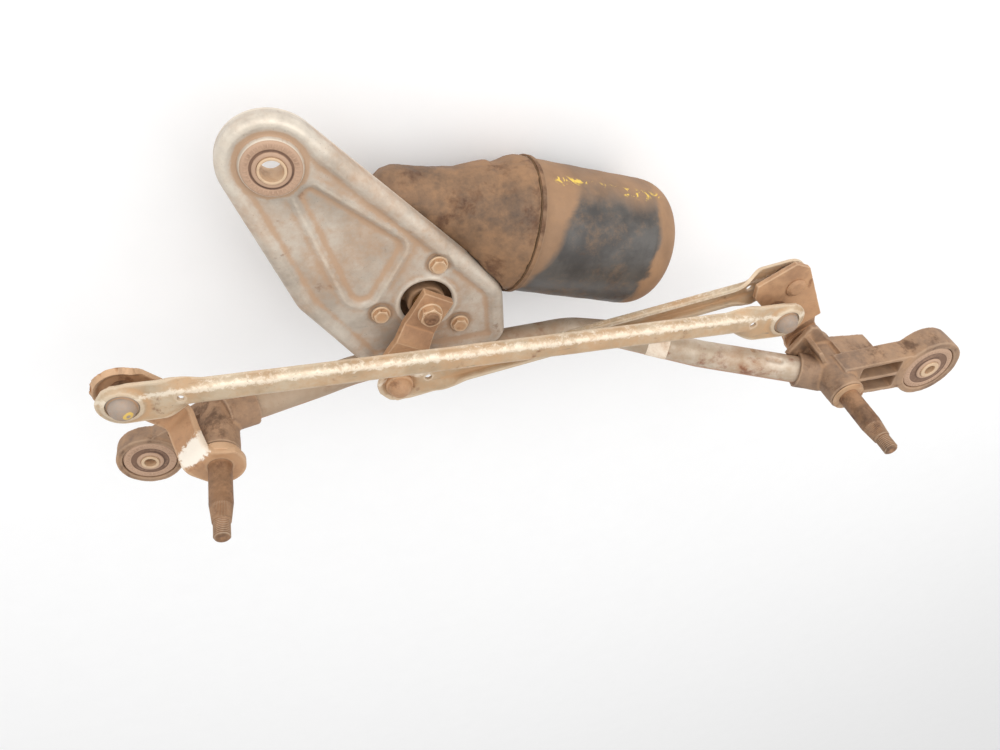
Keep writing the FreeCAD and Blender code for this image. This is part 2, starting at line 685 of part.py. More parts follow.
def washers(at, levels):
    return Part.makeCompound([ring(r, bore, z0, z1, at) for r, bore, z0, z1 in levels])


def tube_label():
    """Blank paper sticker wrapped half round the frame tube."""
    a, b = V(*tube_route[4]), V(*tube_route[5])
    run = (b - a).normalize()
    start = a + run * 24
    wall = Part.makeCylinder(tube_r + 0.02, 17, start - run, run)
    band = Part.makeCylinder(tube_r + 0.25, 15, start, run).cut(wall)
    keep = Part.makeBox(80, 40, 30, V(start.x - 30, start.y - 12, start.z - 3))
    return band.common(keep)


tube_solid, tube = pipe(tube_route, tube_bends, tube_r, tube_r - tube_wall)

nodes = {
    "frame_tube": tube,
    "tube_label": tube_label(),
    "motor_plate": motor_plate(tube_solid),
    "left_housing": left_housing(tube_solid),
    "right_housing": right_housing(tube_solid),
    "left_bushes": bushes(left_pivot, left_barrel),
    "right_bushes": bushes(right_pivot, right_barrel),
    "left_grommet": grommet(left_ear, 5.5),
    "right_grommet": grommet(right_ear, 7.0),
    "plate_grommet": grommet(plate_mount, 8.1),
    "left_sleeve": sleeve(left_ear, 5.5),
    "right_sleeve": sleeve(right_ear, 7.0),
    "plate_sleeve": sleeve(plate_mount, 8.1),
    "motor_bolts": motor_bolts(),
    "gearbox_housing": gearbox_housing(),
    "gearbox_cover": gearbox_cover(),
    "cover_screws": cover_screws(),
    "connector_socket": connector_socket(),
    "output_bush": ring(9.0, 6.05, chamber[1] - 3, plate_front - 1.5, crank_axis),
    "motor_can": motor_can(),
    "can_clamp_ring": can_lugs(),
    "can_screws": can_screws(),
    "magnets": magnets(),
    "brush_plate": brush_plate(),
    "brushes": brushes(),
    "armature_bushes": armature_bushes(),
    "armature_shaft": armature_shaft(),
    "armature_core": armature_core(),
    "armature_windings": windings(),
    "commutator": commutator(),
    "output_shaft": output_shaft(),
    "worm_wheel": worm_wheel(),
    "crank_arm": crank_arm(),
    "crank_nut": crank_nut(),
    "crank_ball_stud": ball_stud(crank_ball, crank_arm_front + crank_arm_rise, crank_arm_thick,
                                 crank_rod_front),
    "crank_rod_bar": rod_between(crank_ball, drive_ball, crank_rod_front, crank_rod_depth,
                                 1, [(20, 2.3), (252, 2.3)]),
    "crank_rod_motor_cup": ball_cup(crank_ball, crank_rod_front, 1),
    "crank_rod_lever_cup": open_cup(drive_ball, crank_rod_front),
    "long_rod_bar": rod_between(left_ball, right_ball, long_rod_front, long_rod_depth,
                                -1, [(31, 2.2), (403, 2.2)]),
    "long_rod_left_cup": ball_cup(left_ball, long_rod_front, 1),
    "long_rod_right_cup": ball_cup(right_ball, long_rod_front, 1),
    "left_spindle": spindle(left_pivot, -62.5, -10.0, 0.0, 28.4),
    "left_lever": left_lever(),
    "left_ball_stud": ball_stud(left_ball, lever_front, lever_sheet, long_rod_front),
    "left_circlip": washers(left_pivot, [(11.5, 6.5, -59.5, -58.2), (9.0, 6.5, -61.2, -59.8)]),
    "right_spindle": spindle(right_pivot, -47.5, 20.7, 22.0, 49.0),
    "right_lever": right_lever(),
    "right_front_ball_stud": ball_stud(right_ball, lever_front, lever_sheet, long_rod_front),
    "right_rear_ball_stud": ball_stud(drive_ball, lever_front - lever_sheet, lever_sheet,
                                      crank_rod_front + open_pivot_gap + ball_r),
    "right_washers": washers(right_pivot, [(11.0, 6.5, -37.8, -36.2), (11.5, seat_r, 20.7, 22.0)]),
}

os.makedirs("parts", exist_ok=True)
for name, shape in nodes.items():
    shape.exportStep("parts/" + name + ".step")
    print(name, "solids", len(shape.Solids), "valid", shape.isValid(), "volume", round(shape.Volume, 1))
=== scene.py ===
import math
import bpy
import numpy as np
from mathutils import Matrix, Vector, noise
from mathutils.geometry import delaunay_2d_cdt


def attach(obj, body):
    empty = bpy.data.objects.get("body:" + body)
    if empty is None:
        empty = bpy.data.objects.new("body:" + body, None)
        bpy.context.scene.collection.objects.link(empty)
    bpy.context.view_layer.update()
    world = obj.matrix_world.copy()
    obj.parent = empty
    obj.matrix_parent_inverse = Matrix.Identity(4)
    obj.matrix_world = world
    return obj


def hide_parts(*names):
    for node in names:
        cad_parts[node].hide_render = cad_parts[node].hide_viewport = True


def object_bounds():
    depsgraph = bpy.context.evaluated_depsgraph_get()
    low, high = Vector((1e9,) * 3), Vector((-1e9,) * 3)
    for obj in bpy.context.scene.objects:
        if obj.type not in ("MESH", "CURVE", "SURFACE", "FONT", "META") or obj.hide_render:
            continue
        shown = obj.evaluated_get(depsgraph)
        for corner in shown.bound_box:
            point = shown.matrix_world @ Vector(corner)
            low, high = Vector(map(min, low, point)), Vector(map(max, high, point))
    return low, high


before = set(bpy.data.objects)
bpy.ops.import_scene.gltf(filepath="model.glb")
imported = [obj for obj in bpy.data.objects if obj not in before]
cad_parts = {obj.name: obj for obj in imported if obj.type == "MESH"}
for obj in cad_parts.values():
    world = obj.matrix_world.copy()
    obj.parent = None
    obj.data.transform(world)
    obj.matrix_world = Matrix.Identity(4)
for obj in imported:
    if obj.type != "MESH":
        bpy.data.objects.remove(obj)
cadBox = [list(corner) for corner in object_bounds()]
mm = 0.001  # shapes below are drawn in millimetres, in the row frame, and turned to metres at the end
print("stage: frame loaded,", len(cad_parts), "parts")


# colours and shader groups

def srgb(red, green, blue):
    def linear(c):
        return c / 12.92 if c <= 0.04045 else ((c + 0.055) / 1.055) ** 2.4
    return tuple(linear(c / 255) for c in (red, green, blue)) + (1.0,)


def addNode(tree, kind, inputs=None, **settings):
    made = tree.nodes.new(kind)
    for key, value in settings.items():
        setattr(made, key, value)
    for key, value in (inputs or {}).items():
        if isinstance(value, bpy.types.NodeSocket):
            tree.links.new(value, made.inputs[key])
        else:
            made.inputs[key].default_value = value
    return made


def sums(tree, operation, *values, clamp=False):
    inputs = dict(enumerate(values))
    return addNode(tree, "ShaderNodeMath", inputs, operation=operation, use_clamp=clamp).outputs[0]


def remap(tree, value, low, high, toLow=0.0, toHigh=1.0):
    inputs = {0: value, 1: low, 2: high, 3: toLow, 4: toHigh}
    made = addNode(tree, "ShaderNodeMapRange", inputs, interpolation_type="SMOOTHSTEP", clamp=True)
    return made.outputs[0]


def noiseAt(tree, where, scale, detail=6.0, roughness=0.6, distortion=0.0):
    inputs = {"Vector": where, "Scale": scale, "Detail": detail, "Roughness": roughness,
              "Distortion": distortion}
    return addNode(tree, "ShaderNodeTexNoise", inputs).outputs["Fac"]


def mixColour(tree, mask, under, over, way="MIX"):
    made = addNode(tree, "ShaderNodeMix", {0: mask, 6: under, 7: over}, data_type="RGBA", blend_type=way)
    return made.outputs[2]


def mixValue(tree, mask, under, over):
    return addNode(tree, "ShaderNodeMix", {0: mask, 2: under, 3: over}, data_type="FLOAT").outputs[0]


def shaderGroup(name, inputs, outputs):
    tree = bpy.data.node_groups.new(name, "ShaderNodeTree")
    for title, value in inputs.items():
        kind = "NodeSocketColor" if isinstance(value, tuple) else "NodeSocketFloat"
        tree.interface.new_socket(name=title, in_out="INPUT", socket_type=kind).default_value = value
    for title, kind in outputs.items():
        tree.interface.new_socket(name=title, in_out="OUTPUT", socket_type=kind)
    source = tree.nodes.new("NodeGroupInput")
    target = tree.nodes.new("NodeGroupOutput")
    place = addNode(tree, "ShaderNodeTexCoord").outputs["Object"]
    return tree, source.outputs, target.inputs, place


def attribute(tree, name):
    return addNode(tree, "ShaderNodeAttribute", attribute_name=name).outputs["Fac"]


def buildDustGroup():
    # road dust: broad clouds and fine specks, thicker where the surface is hollow
    inputs = {"Scale": 30.0, "Amount": 0.5, "Hollow": 0.6, "Softness": 0.16}
    tree, given, out, place = shaderGroup("roadDust", inputs, {"Mask": "NodeSocketFloat"})
    clouds = noiseAt(tree, place, given["Scale"], 7.0, 0.62, 0.15)
    fine = noiseAt(tree, place, sums(tree, "MULTIPLY", given["Scale"], 9.0), 4.0, 0.7)
    level = sums(tree, "MULTIPLY_ADD", fine, 0.3, sums(tree, "MULTIPLY", clouds, 0.7))
    pooled = sums(tree, "MULTIPLY", attribute(tree, "hollow"), given["Hollow"])
    level = sums(tree, "ADD", level, pooled)
    start = sums(tree, "SUBTRACT", 1.0, given["Amount"])
    low = sums(tree, "SUBTRACT", start, given["Softness"])
    high = sums(tree, "ADD", start, given["Softness"])
    tree.links.new(remap(tree, level, low, high), out["Mask"])
    return tree


def buildRustGroup():
    # rust blooms with a darker heart, and pits for the bump
    inputs = {"Scale": 60.0, "Amount": 0.35, "Young": srgb(178, 112, 70), "Old": srgb(96, 58, 38)}
    outputs = {"Mask": "NodeSocketFloat", "Color": "NodeSocketColor", "Height": "NodeSocketFloat"}
    tree, given, out, place = shaderGroup("rustBloom", inputs, outputs)
    bloom = noiseAt(tree, place, given["Scale"], 9.0, 0.68, 0.2)
    start = sums(tree, "SUBTRACT", 1.0, given["Amount"])
    mask = remap(tree, bloom, sums(tree, "SUBTRACT", start, 0.06), sums(tree, "ADD", start, 0.1))
    grit = noiseAt(tree, place, sums(tree, "MULTIPLY", given["Scale"], 12.0), 5.0, 0.75)
    heart = remap(tree, sums(tree, "MULTIPLY_ADD", grit, 0.5, sums(tree, "MULTIPLY", bloom, 0.5)), 0.42, 0.62)
    tree.links.new(mask, out["Mask"])
    tree.links.new(mixColour(tree, heart, given["Young"], given["Old"]), out["Color"])
    tree.links.new(sums(tree, "MULTIPLY", mask, grit), out["Height"])
    return tree


def buildWearGroup():
    # bare metal along the edges, broken up so that it never runs as one clean line
    inputs = {"Amount": 1.0, "Breakup": 140.0, "Start": 0.15}
    tree, given, out, place = shaderGroup("edgeWear", inputs, {"Mask": "NodeSocketFloat"})
    chips = noiseAt(tree, place, given["Breakup"], 6.0, 0.7, 0.5)
    level = sums(tree, "MULTIPLY", attribute(tree, "edgeWear"), sums(tree, "MULTIPLY_ADD", chips, 1.5, 0.15))
    high = sums(tree, "ADD", given["Start"], 0.3)
    mask = sums(tree, "MULTIPLY", remap(tree, level, given["Start"], high), given["Amount"], clamp=True)
    tree.links.new(mask, out["Mask"])
    return tree


def buildGrainGroup():
    # fine surface grain: a rolled or cast skin with small dark pits
    inputs = {"Scale": 900.0, "Pits": 0.3}
    outputs = {"Height": "NodeSocketFloat", "Pits": "NodeSocketFloat"}
    tree, given, out, place = shaderGroup("metalGrain", inputs, outputs)
    skin = noiseAt(tree, place, given["Scale"], 5.0, 0.6)
    pitScale = sums(tree, "MULTIPLY", given["Scale"], 0.45)
    cells = addNode(tree, "ShaderNodeTexVoronoi", {"Vector": place, "Scale": pitScale}).outputs["Distance"]
    sparse = remap(tree, noiseAt(tree, place, sums(tree, "MULTIPLY", given["Scale"], 0.1), 3.0), 0.5, 0.62)
    pits = sums(tree, "MULTIPLY", remap(tree, cells, 0.05, 0.22, 1.0, 0.0), sparse)
    pits = sums(tree, "MULTIPLY", pits, given["Pits"], clamp=True)
    tree.links.new(sums(tree, "MULTIPLY_ADD", pits, -1.2, skin), out["Height"])
    tree.links.new(pits, out["Pits"])
    return tree


def buildScratchGroup():
    # long thin scratches along X, broken into short runs
    inputs = {"Scale": 60.0, "Amount": 0.3}
    tree, given, out, place = shaderGroup("scratches", inputs, {"Mask": "NodeSocketFloat"})
    stretch = {"Vector": place, "Scale": (0.09, 1.0, 1.0), "Rotation": (0, 0, 0.05)}
    flat = addNode(tree, "ShaderNodeMapping", stretch)
    lines = noiseAt(tree, flat.outputs[0], sums(tree, "MULTIPLY", given["Scale"], 9.0), 4.0, 0.75, 0.3)
    patches = remap(tree, noiseAt(tree, place, given["Scale"], 4.0), 0.48, 0.62)
    thin = remap(tree, lines, 0.6, 0.68)
    mask = sums(tree, "MULTIPLY", sums(tree, "MULTIPLY", thin, patches), given["Amount"], clamp=True)
    tree.links.new(mask, out["Mask"])
    return tree


groups = {
    "dust": buildDustGroup(),
    "rust": buildRustGroup(),
    "wear": buildWearGroup(),
    "grain": buildGrainGroup(),
    "scratch": buildScratchGroup(),
}


def useGroup(tree, name, **values):
    made = addNode(tree, "ShaderNodeGroup", node_tree=groups[name])
    for key, value in values.items():
        made.inputs[key].default_value = value
    return made.outputs


# finishes

# base and tint cloud into each other; dust, rust, scratches and edge wear lie over them in that order
looks = {
    "galvanisedPlate": {
        "base": (204, 194, 180), "tint": (168, 156, 142), "clouds": 26.0, "metallic": 0.35, "roughness": 0.42,
        "dust": (176, 142, 112), "dustAmount": 0.45, "dustScale": 22.0, "hollow": 0.75,
        "rust": (152, 98, 62), "rustAmount": 0.34, "rustScale": 70.0,
        "wear": (230, 218, 200), "wearAmount": 0.55, "grain": 1100.0, "pits": 0.75, "scratch": 0.35,
        "bump": 0.5,
    },
    "rodSteel": {
        "base": (198, 180, 154), "tint": (170, 148, 120), "clouds": 40.0, "metallic": 0.3, "roughness": 0.45,
        "dust": (188, 150, 112), "dustAmount": 0.5, "dustScale": 34.0, "hollow": 0.8,
        "rust": (150, 96, 60), "rustAmount": 0.34, "rustScale": 90.0,
        "wear": (232, 216, 192), "wearAmount": 0.35, "grain": 1000.0, "pits": 0.9, "scratch": 0.8,
        "bump": 0.6,
    },
    "castAluminium": {
        "base": (152, 124, 100), "tint": (116, 94, 78), "clouds": 30.0, "metallic": 0.12, "roughness": 0.6,
        "dust": (172, 136, 104), "dustAmount": 0.5, "dustScale": 28.0, "hollow": 0.3,
        "rust": (108, 76, 54), "rustAmount": 0.42, "rustScale": 45.0,
        "wear": (196, 166, 138), "wearAmount": 0.28, "grain": 700.0, "pits": 0.4, "scratch": 0.2,
        "bump": 0.8,
    },
    "gearboxCasting": {
        "base": (122, 94, 70), "tint": (80, 64, 52), "clouds": 24.0, "metallic": 0.15, "roughness": 0.5,
        "dust": (158, 120, 86), "dustAmount": 0.48, "dustScale": 20.0, "hollow": 0.2,
        "rust": (104, 66, 42), "rustAmount": 0.42, "rustScale": 34.0,
        "wear": (168, 132, 98), "wearAmount": 0.3, "grain": 700.0, "pits": 0.5, "scratch": 0.25,
        "bump": 0.7,
    },
    "leverSteel": {
        "base": (188, 148, 112), "tint": (158, 120, 90), "clouds": 46.0, "metallic": 0.2, "roughness": 0.5,
        "dust": (190, 146, 108), "dustAmount": 0.48, "dustScale": 30.0, "hollow": 0.5,
        "rust": (146, 92, 56), "rustAmount": 0.38, "rustScale": 60.0,
        "wear": (220, 190, 156), "wearAmount": 0.3, "grain": 900.0, "pits": 0.6, "scratch": 0.4,
        "bump": 0.6,
    },
    "spindleSteel": {
        "base": (132, 98, 70), "tint": (94, 70, 52), "clouds": 60.0, "metallic": 0.35, "roughness": 0.48,
        "dust": (168, 128, 94), "dustAmount": 0.48, "dustScale": 50.0, "hollow": 0.3,
        "rust": (110, 66, 42), "rustAmount": 0.42, "rustScale": 90.0,
        "wear": (200, 176, 150), "wearAmount": 0.45, "grain": 1100.0, "pits": 0.6, "scratch": 0.3,
        "bump": 0.6,
    },
    "boltSteel": {
        "base": (198, 168, 136), "tint": (170, 136, 104), "clouds": 120.0, "metallic": 0.3, "roughness": 0.45,
        "dust": (188, 146, 108), "dustAmount": 0.5, "dustScale": 80.0, "hollow": 0.8,
        "rust": (156, 96, 58), "rustAmount": 0.4, "rustScale": 130.0,
        "wear": (232, 208, 176), "wearAmount": 0.5, "grain": 1300.0, "pits": 0.5, "scratch": 0.2,
        "bump": 0.6,
    },
    "wornRubber": {
        "base": (120, 92, 74), "tint": (92, 70, 58), "clouds": 60.0, "metallic": 0.0, "roughness": 0.8,
        "dust": (172, 138, 114), "dustAmount": 0.58, "dustScale": 60.0, "hollow": -0.35,
        "rust": (150, 112, 84), "rustAmount": 0.3, "rustScale": 80.0,
        "wear": (196, 164, 138), "wearAmount": 0.6, "grain": 1200.0, "pits": 0.2, "scratch": 0.1,
        "bump": 0.5,
    },
    "cupPlastic": {
        "base": (150, 136, 124), "tint": (132, 118, 106), "clouds": 70.0, "metallic": 0.0, "roughness": 0.4,
        "dust": (176, 138, 104), "dustAmount": 0.44, "dustScale": 60.0, "hollow": 0.6,
        "rust": (120, 88, 64), "rustAmount": 0.3, "rustScale": 90.0,
        "wear": (186, 172, 160), "wearAmount": 0.4, "grain": 1400.0, "pits": 0.2, "scratch": 0.3,
        "bump": 0.3,
    },
    "tubeSteel": {
        "base": (208, 194, 176), "tint": (178, 160, 138), "clouds": 30.0, "metallic": 0.35, "roughness": 0.4,
        "dust": (168, 130, 96), "dustAmount": 0.46, "dustScale": 24.0, "hollow": 0.4,
        "rust": (164, 96, 60), "rustAmount": 0.4, "rustScale": 50.0,
        "wear": (236, 226, 210), "wearAmount": 0.5, "grain": 1000.0, "pits": 0.7, "scratch": 0.5,
        "bump": 0.5,
    },
    "canPaint": {
        "base": (84, 80, 76), "tint": (62, 58, 55), "clouds": 34.0, "metallic": 0.0, "roughness": 0.34,
        "dust": (150, 116, 84), "dustAmount": 0.41, "dustScale": 26.0, "hollow": 0.3,
        "rust": (120, 84, 56), "rustAmount": 0.36, "rustScale": 40.0,
        "wear": (160, 132, 104), "wearAmount": 0.5, "grain": 900.0, "pits": 0.3, "scratch": 0.5,
        "bump": 0.35,
    },
    "coverPlastic": {
        "base": (44, 42, 40), "tint": (58, 54, 50), "clouds": 40.0, "metallic": 0.0, "roughness": 0.5,
        "dust": (142, 112, 84), "dustAmount": 0.5, "dustScale": 30.0, "hollow": 0.6,
        "rust": (112, 84, 60), "rustAmount": 0.3, "rustScale": 50.0,
        "wear": (92, 84, 76), "wearAmount": 0.5, "grain": 1100.0, "pits": 0.2, "scratch": 0.3,
        "bump": 0.4,
    },
    "bearingBronze": {
        "base": (176, 132, 78), "tint": (150, 108, 62), "clouds": 80.0, "metallic": 0.8, "roughness": 0.42,
        "dust": (120, 92, 60), "dustAmount": 0.42, "dustScale": 70.0, "hollow": 0.5,
        "rust": (96, 68, 40), "rustAmount": 0.3, "rustScale": 120.0,
        "wear": (214, 170, 110), "wearAmount": 0.4, "grain": 1500.0, "pits": 0.5, "scratch": 0.2,
        "bump": 0.4,
    },
    "gearNylon": {
        "base": (222, 214, 190), "tint": (206, 194, 164), "clouds": 50.0, "metallic": 0.0, "roughness": 0.45,
        "dust": (150, 120, 78), "dustAmount": 0.38, "dustScale": 60.0, "hollow": 0.6,
        "rust": (130, 96, 60), "rustAmount": 0.25, "rustScale": 70.0,
        "wear": (236, 230, 212), "wearAmount": 0.3, "grain": 1300.0, "pits": 0.1, "scratch": 0.1,
        "bump": 0.3,
    },
    "coreIron": {
        "base": (96, 92, 88), "tint": (76, 72, 70), "clouds": 60.0, "metallic": 0.8, "roughness": 0.5,
        "dust": (88, 70, 54), "dustAmount": 0.4, "dustScale": 60.0, "hollow": 0.4,
        "rust": (110, 70, 46), "rustAmount": 0.32, "rustScale": 100.0,
        "wear": (150, 146, 140), "wearAmount": 0.4, "grain": 1500.0, "pits": 0.4, "scratch": 0.3,
        "bump": 0.4,
    },
    "copperWire": {
        "base": (184, 104, 58), "tint": (160, 84, 46), "clouds": 90.0, "metallic": 0.85, "roughness": 0.35,
        "dust": (96, 62, 40), "dustAmount": 0.38, "dustScale": 90.0, "hollow": 0.5,
        "rust": (80, 46, 32), "rustAmount": 0.3, "rustScale": 120.0,
        "wear": (222, 150, 96), "wearAmount": 0.4, "grain": 1600.0, "pits": 0.3, "scratch": 0.2,
        "bump": 0.5,
    },
    "brushCarbon": {
        "base": (38, 36, 36), "tint": (54, 50, 48), "clouds": 120.0, "metallic": 0.1, "roughness": 0.6,
        "dust": (78, 66, 56), "dustAmount": 0.35, "dustScale": 90.0, "hollow": 0.4,
        "rust": (70, 54, 44), "rustAmount": 0.25, "rustScale": 120.0,
        "wear": (96, 92, 90), "wearAmount": 0.4, "grain": 1600.0, "pits": 0.6, "scratch": 0.2,
        "bump": 0.5,
    },
    "labelPaper": {
        "base": (244, 228, 208), "tint": (232, 210, 186), "clouds": 70.0, "metallic": 0.0, "roughness": 0.7,
        "dust": (200, 164, 130), "dustAmount": 0.45, "dustScale": 70.0, "hollow": 0.3,
        "rust": (170, 120, 84), "rustAmount": 0.33, "rustScale": 150.0,
        "wear": (250, 240, 226), "wearAmount": 0.3, "grain": 1600.0, "pits": 0.4, "scratch": 0.2,
        "bump": 0.3,
    },
}


def layer(stack, mask, colour, roughness=None, metallic=None):
    tree = stack["tree"]
    stack["colour"] = mixColour(tree, mask, stack["colour"], colour)
    if roughness is not None:
        stack["roughness"] = mixValue(tree, mask, stack["roughness"], roughness)
    if metallic is not None:
        stack["metallic"] = mixValue(tree, mask, stack["metallic"], metallic)


def startFinish(name, look):
    material = bpy.data.materials.new(name)
    material.use_nodes = True
    tree = material.node_tree
    shader = tree.nodes["Principled BSDF"]
    place = addNode(tree, "ShaderNodeTexCoord").outputs["Object"]
    clouds = remap(tree, noiseAt(tree, place, look["clouds"], 6.0, 0.6, 0.15), 0.38, 0.64)
    grain = useGroup(tree, "grain", Scale=look["grain"], Pits=look["pits"])
    stack = {"material": material, "tree": tree, "shader": shader, "place": place, "grain": grain,
             "colour": mixColour(tree, clouds, srgb(*look["base"]), srgb(*look["tint"])),
             "roughness": mixValue(tree, clouds, look["roughness"], look["roughness"] + 0.1),
             "metallic": mixValue(tree, clouds, look["metallic"], look["metallic"] * 0.7)}
    dark = tuple(c * 0.42 for c in srgb(*look["base"])[:3]) + (1.0,)
    layer(stack, grain["Pits"], dark, 0.7, 0.0)
    dust = useGroup(tree, "dust", Scale=look["dustScale"], Amount=look["dustAmount"], Hollow=look["hollow"])
    layer(stack, sums(tree, "MULTIPLY", dust["Mask"], 0.85), srgb(*look["dust"]), 0.82, 0.0)
    young = srgb(*look["rust"])
    old = tuple(c * 0.5 for c in young[:3]) + (1.0,)
    rust = useGroup(tree, "rust", Scale=look["rustScale"], Amount=look["rustAmount"], Young=young, Old=old)
    layer(stack, sums(tree, "MULTIPLY", rust["Mask"], 0.8), rust["Color"], 0.85, 0.0)
    scratch = useGroup(tree, "scratch", Amount=look["scratch"])
    layer(stack, scratch["Mask"], dark)
    stack["rust"] = rust
    return stack


def closeFinish(stack, look):
    tree = stack["tree"]
    wear = useGroup(tree, "wear", Amount=look["wearAmount"])
    layer(stack, wear["Mask"], srgb(*look["wear"]), look["roughness"] * 0.8, look["metallic"])
    height = sums(tree, "MULTIPLY_ADD", stack["rust"]["Height"], 0.8, stack["grain"]["Height"])
    bump = addNode(tree, "ShaderNodeBump", {"Strength": look["bump"], "Distance": 0.0002, "Height": height})
    for title, value in (("Base Color", stack["colour"]), ("Roughness", stack["roughness"]),
                         ("Metallic", stack["metallic"]), ("Normal", bump.outputs[0])):
        tree.links.new(value, stack["shader"].inputs[title])
    return stack["material"]


def nearPoint(stack, centre, size, ragged=0.5, grit=120.0, turn=(0, 0, 0)):
    # ragged patch about a point, in metres: 1 inside, 0 outside
    tree = stack["tree"]
    inputs = {"Vector": stack["place"], "Location": centre, "Rotation": turn, "Scale": size}
    moved = addNode(tree, "ShaderNodeMapping", inputs, vector_type="TEXTURE").outputs[0]
    length = addNode(tree, "ShaderNodeVectorMath", {0: moved}, operation="LENGTH").outputs["Value"]
    broken = noiseAt(tree, stack["place"], grit, 7.0, 0.7, 0.6)
    level = sums(tree, "MULTIPLY_ADD", broken, ragged * 2, length)
    return remap(tree, level, 0.75 + ragged, 1.05 + ragged, 1.0, 0.0)


def plainFinish(name):
    look = looks[name]
    return closeFinish(startFinish(name, look), look)


# these get marks of their own further down
ownFinish = ("canPaint", "leverSteel", "rodSteel", "tubeSteel")
finishes = {name: plainFinish(name) for name in looks if name not in ownFinish}
print("stage: shader groups and", len(finishes), "plain finishes")


# mesh helpers

def meshPiece(name, points, faces):
    mesh = bpy.data.meshes.new(name)
    mesh.from_pydata((np.asarray(points, float) * mm).tolist(), [], faces)
    mesh.update()
    obj = bpy.data.objects.new(name, mesh)
    bpy.context.collection.objects.link(obj)
    return obj


def applied(obj):
    bpy.context.view_layer.update()
    graph = bpy.context.evaluated_depsgraph_get()
    mesh = bpy.data.meshes.new_from_object(obj.evaluated_get(graph))
    obj.modifiers.clear()
    obj.data = mesh
    return obj


def addModifier(obj, kind, **settings):
    made = obj.modifiers.new(kind.title(), kind)
    for key, value in settings.items():
        setattr(made, key, value)
    return made


def vertexArray(mesh, what="co"):
    values = np.empty(len(mesh.vertices) * 3)
    if what == "co":
        mesh.vertices.foreach_get("co", values)
    else:
        mesh.vertex_normals.foreach_get("vector", values)
    return values.reshape(-1, 3)


def markWear(obj, reach=0.0016, spread=3):
    # how sharply each vertex stands out (edgeWear) or lies in a corner (hollow), both 0 to 1
    mesh = obj.data
    points, normals = vertexArray(mesh), vertexArray(mesh, "normal")
    edges = np.empty(len(mesh.edges) * 2, int)
    mesh.edges.foreach_get("vertices", edges)
    a, b = edges.reshape(-1, 2).T
    way = points[b] - points[a]
    length = (way ** 2).sum(1) + 1e-12
    count = len(points)
    ties = np.bincount(a, minlength=count) + np.bincount(b, minlength=count) + 1e-9
    bendA = -2 * (normals[a] * way).sum(1) / length
    bendB = 2 * (normals[b] * way).sum(1) / length
    bend = np.clip((np.bincount(a, bendA, count) + np.bincount(b, bendB, count)) / ties * reach, -1, 1)
    for _ in range(spread):
        around = (np.bincount(a, bend[b], count) + np.bincount(b, bend[a], count)) / ties
        bend = (bend + around) / 2
    for name, sign in (("edgeWear", 1), ("hollow", -1)):
        layerOut = mesh.attributes.new(name, "FLOAT", "POINT")
        layerOut.data.foreach_set("value", np.clip(sign * bend, 0, 1).astype(np.float32))


def settle(obj, material, body, nodes=(), wearReach=0.0016, spread=3, smooth=50.0):
    obj.data.materials.clear()
    obj.data.materials.append(material)
    markWear(obj, wearReach, spread)
    obj.data.shade_smooth()
    obj.data.set_sharp_from_angle(angle=math.radians(smooth))
    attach(obj, body)
    if nodes:
        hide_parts(*nodes)
    return obj


def softened(node, name, voxel, passes, skin=0.0, skinScale=0.05):
    # a casting or forging grown from the part's own solid: rounded edges, filled corners, uneven skin
    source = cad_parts[node].data.copy()
    obj = bpy.data.objects.new(name, source)
    bpy.context.collection.objects.link(obj)
    addModifier(obj, "WELD", merge_threshold=0.00001)
    addModifier(obj, "REMESH", mode="VOXEL", voxel_size=voxel * mm, use_smooth_shade=True)
    applied(obj)
    addModifier(obj, "SMOOTH", factor=0.5, iterations=passes)
    applied(obj)
    if skin:
        points, normals = vertexArray(obj.data), vertexArray(obj.data, "normal")
        lift = [noise.fractal(Vector(p) / (skinScale * 0.2), 0.8, 2.1, 3) for p in points]
        points = points + normals * ((np.array(lift)[:, None] - 0.9) * skin * mm)      # mostly inwards
        obj.data.vertices.foreach_set("co", points.ravel())
        obj.data.update()
    return obj


def thinned(obj, ratio):
    addModifier(obj, "DECIMATE", ratio=ratio)
    return applied(obj)


def roundedProfile(profile, radius=0.4, closed=False):
    # corners of an (r, z) outline turned into short arcs
    out = []
    count = len(profile)
    for i, corner in enumerate(profile):
        here = np.array(corner, float)
        if not closed and i in (0, count - 1):
            out.append(here)
            continue
        before = np.array(profile[i - 1], float) - here
        after = np.array(profile[(i + 1) % count], float) - here
        cut = min(radius, np.linalg.norm(before) * 0.45, np.linalg.norm(after) * 0.45)
        start = here + before / np.linalg.norm(before) * cut
        end = here + after / np.linalg.norm(after) * cut
        for t in (0, 0.33, 0.67, 1):
            out.append((1 - t) ** 2 * start + 2 * t * (1 - t) * here + t * t * end)
    return out


def turnedPiece(name, profile, centre=(0, 0), segments=96, shape=None, closed=False):
    # solid of revolution; the outline runs pole to pole, or round a ring when closed
    points, faces, rows = [], [], []
    angles = [2 * math.pi * i / segments for i in range(segments)]
    for r, z in profile:
        if r < 1e-6:
            rows.append([len(points)])
            points.append((centre[0], centre[1], z))
            continue
        rows.append(list(range(len(points), len(points) + segments)))
        for angle in angles:
            radius, level = shape(r, z, angle) if shape else (r, z)
            points.append((centre[0] + radius * math.cos(angle), centre[1] + radius * math.sin(angle), level))
    pairs = list(zip(rows, rows[1:])) + ([(rows[-1], rows[0])] if closed else [])
    for low, high in pairs:
        for i in range(segments):
            j = (i + 1) % segments
            if len(low) == 1:
                faces.append((low[0], high[j], high[i]))
            elif len(high) == 1:
                faces.append((low[i], low[j], high[0]))
            else:
                faces.append((low[i], low[j], high[j], high[i]))
    return meshPiece(name, points, faces)


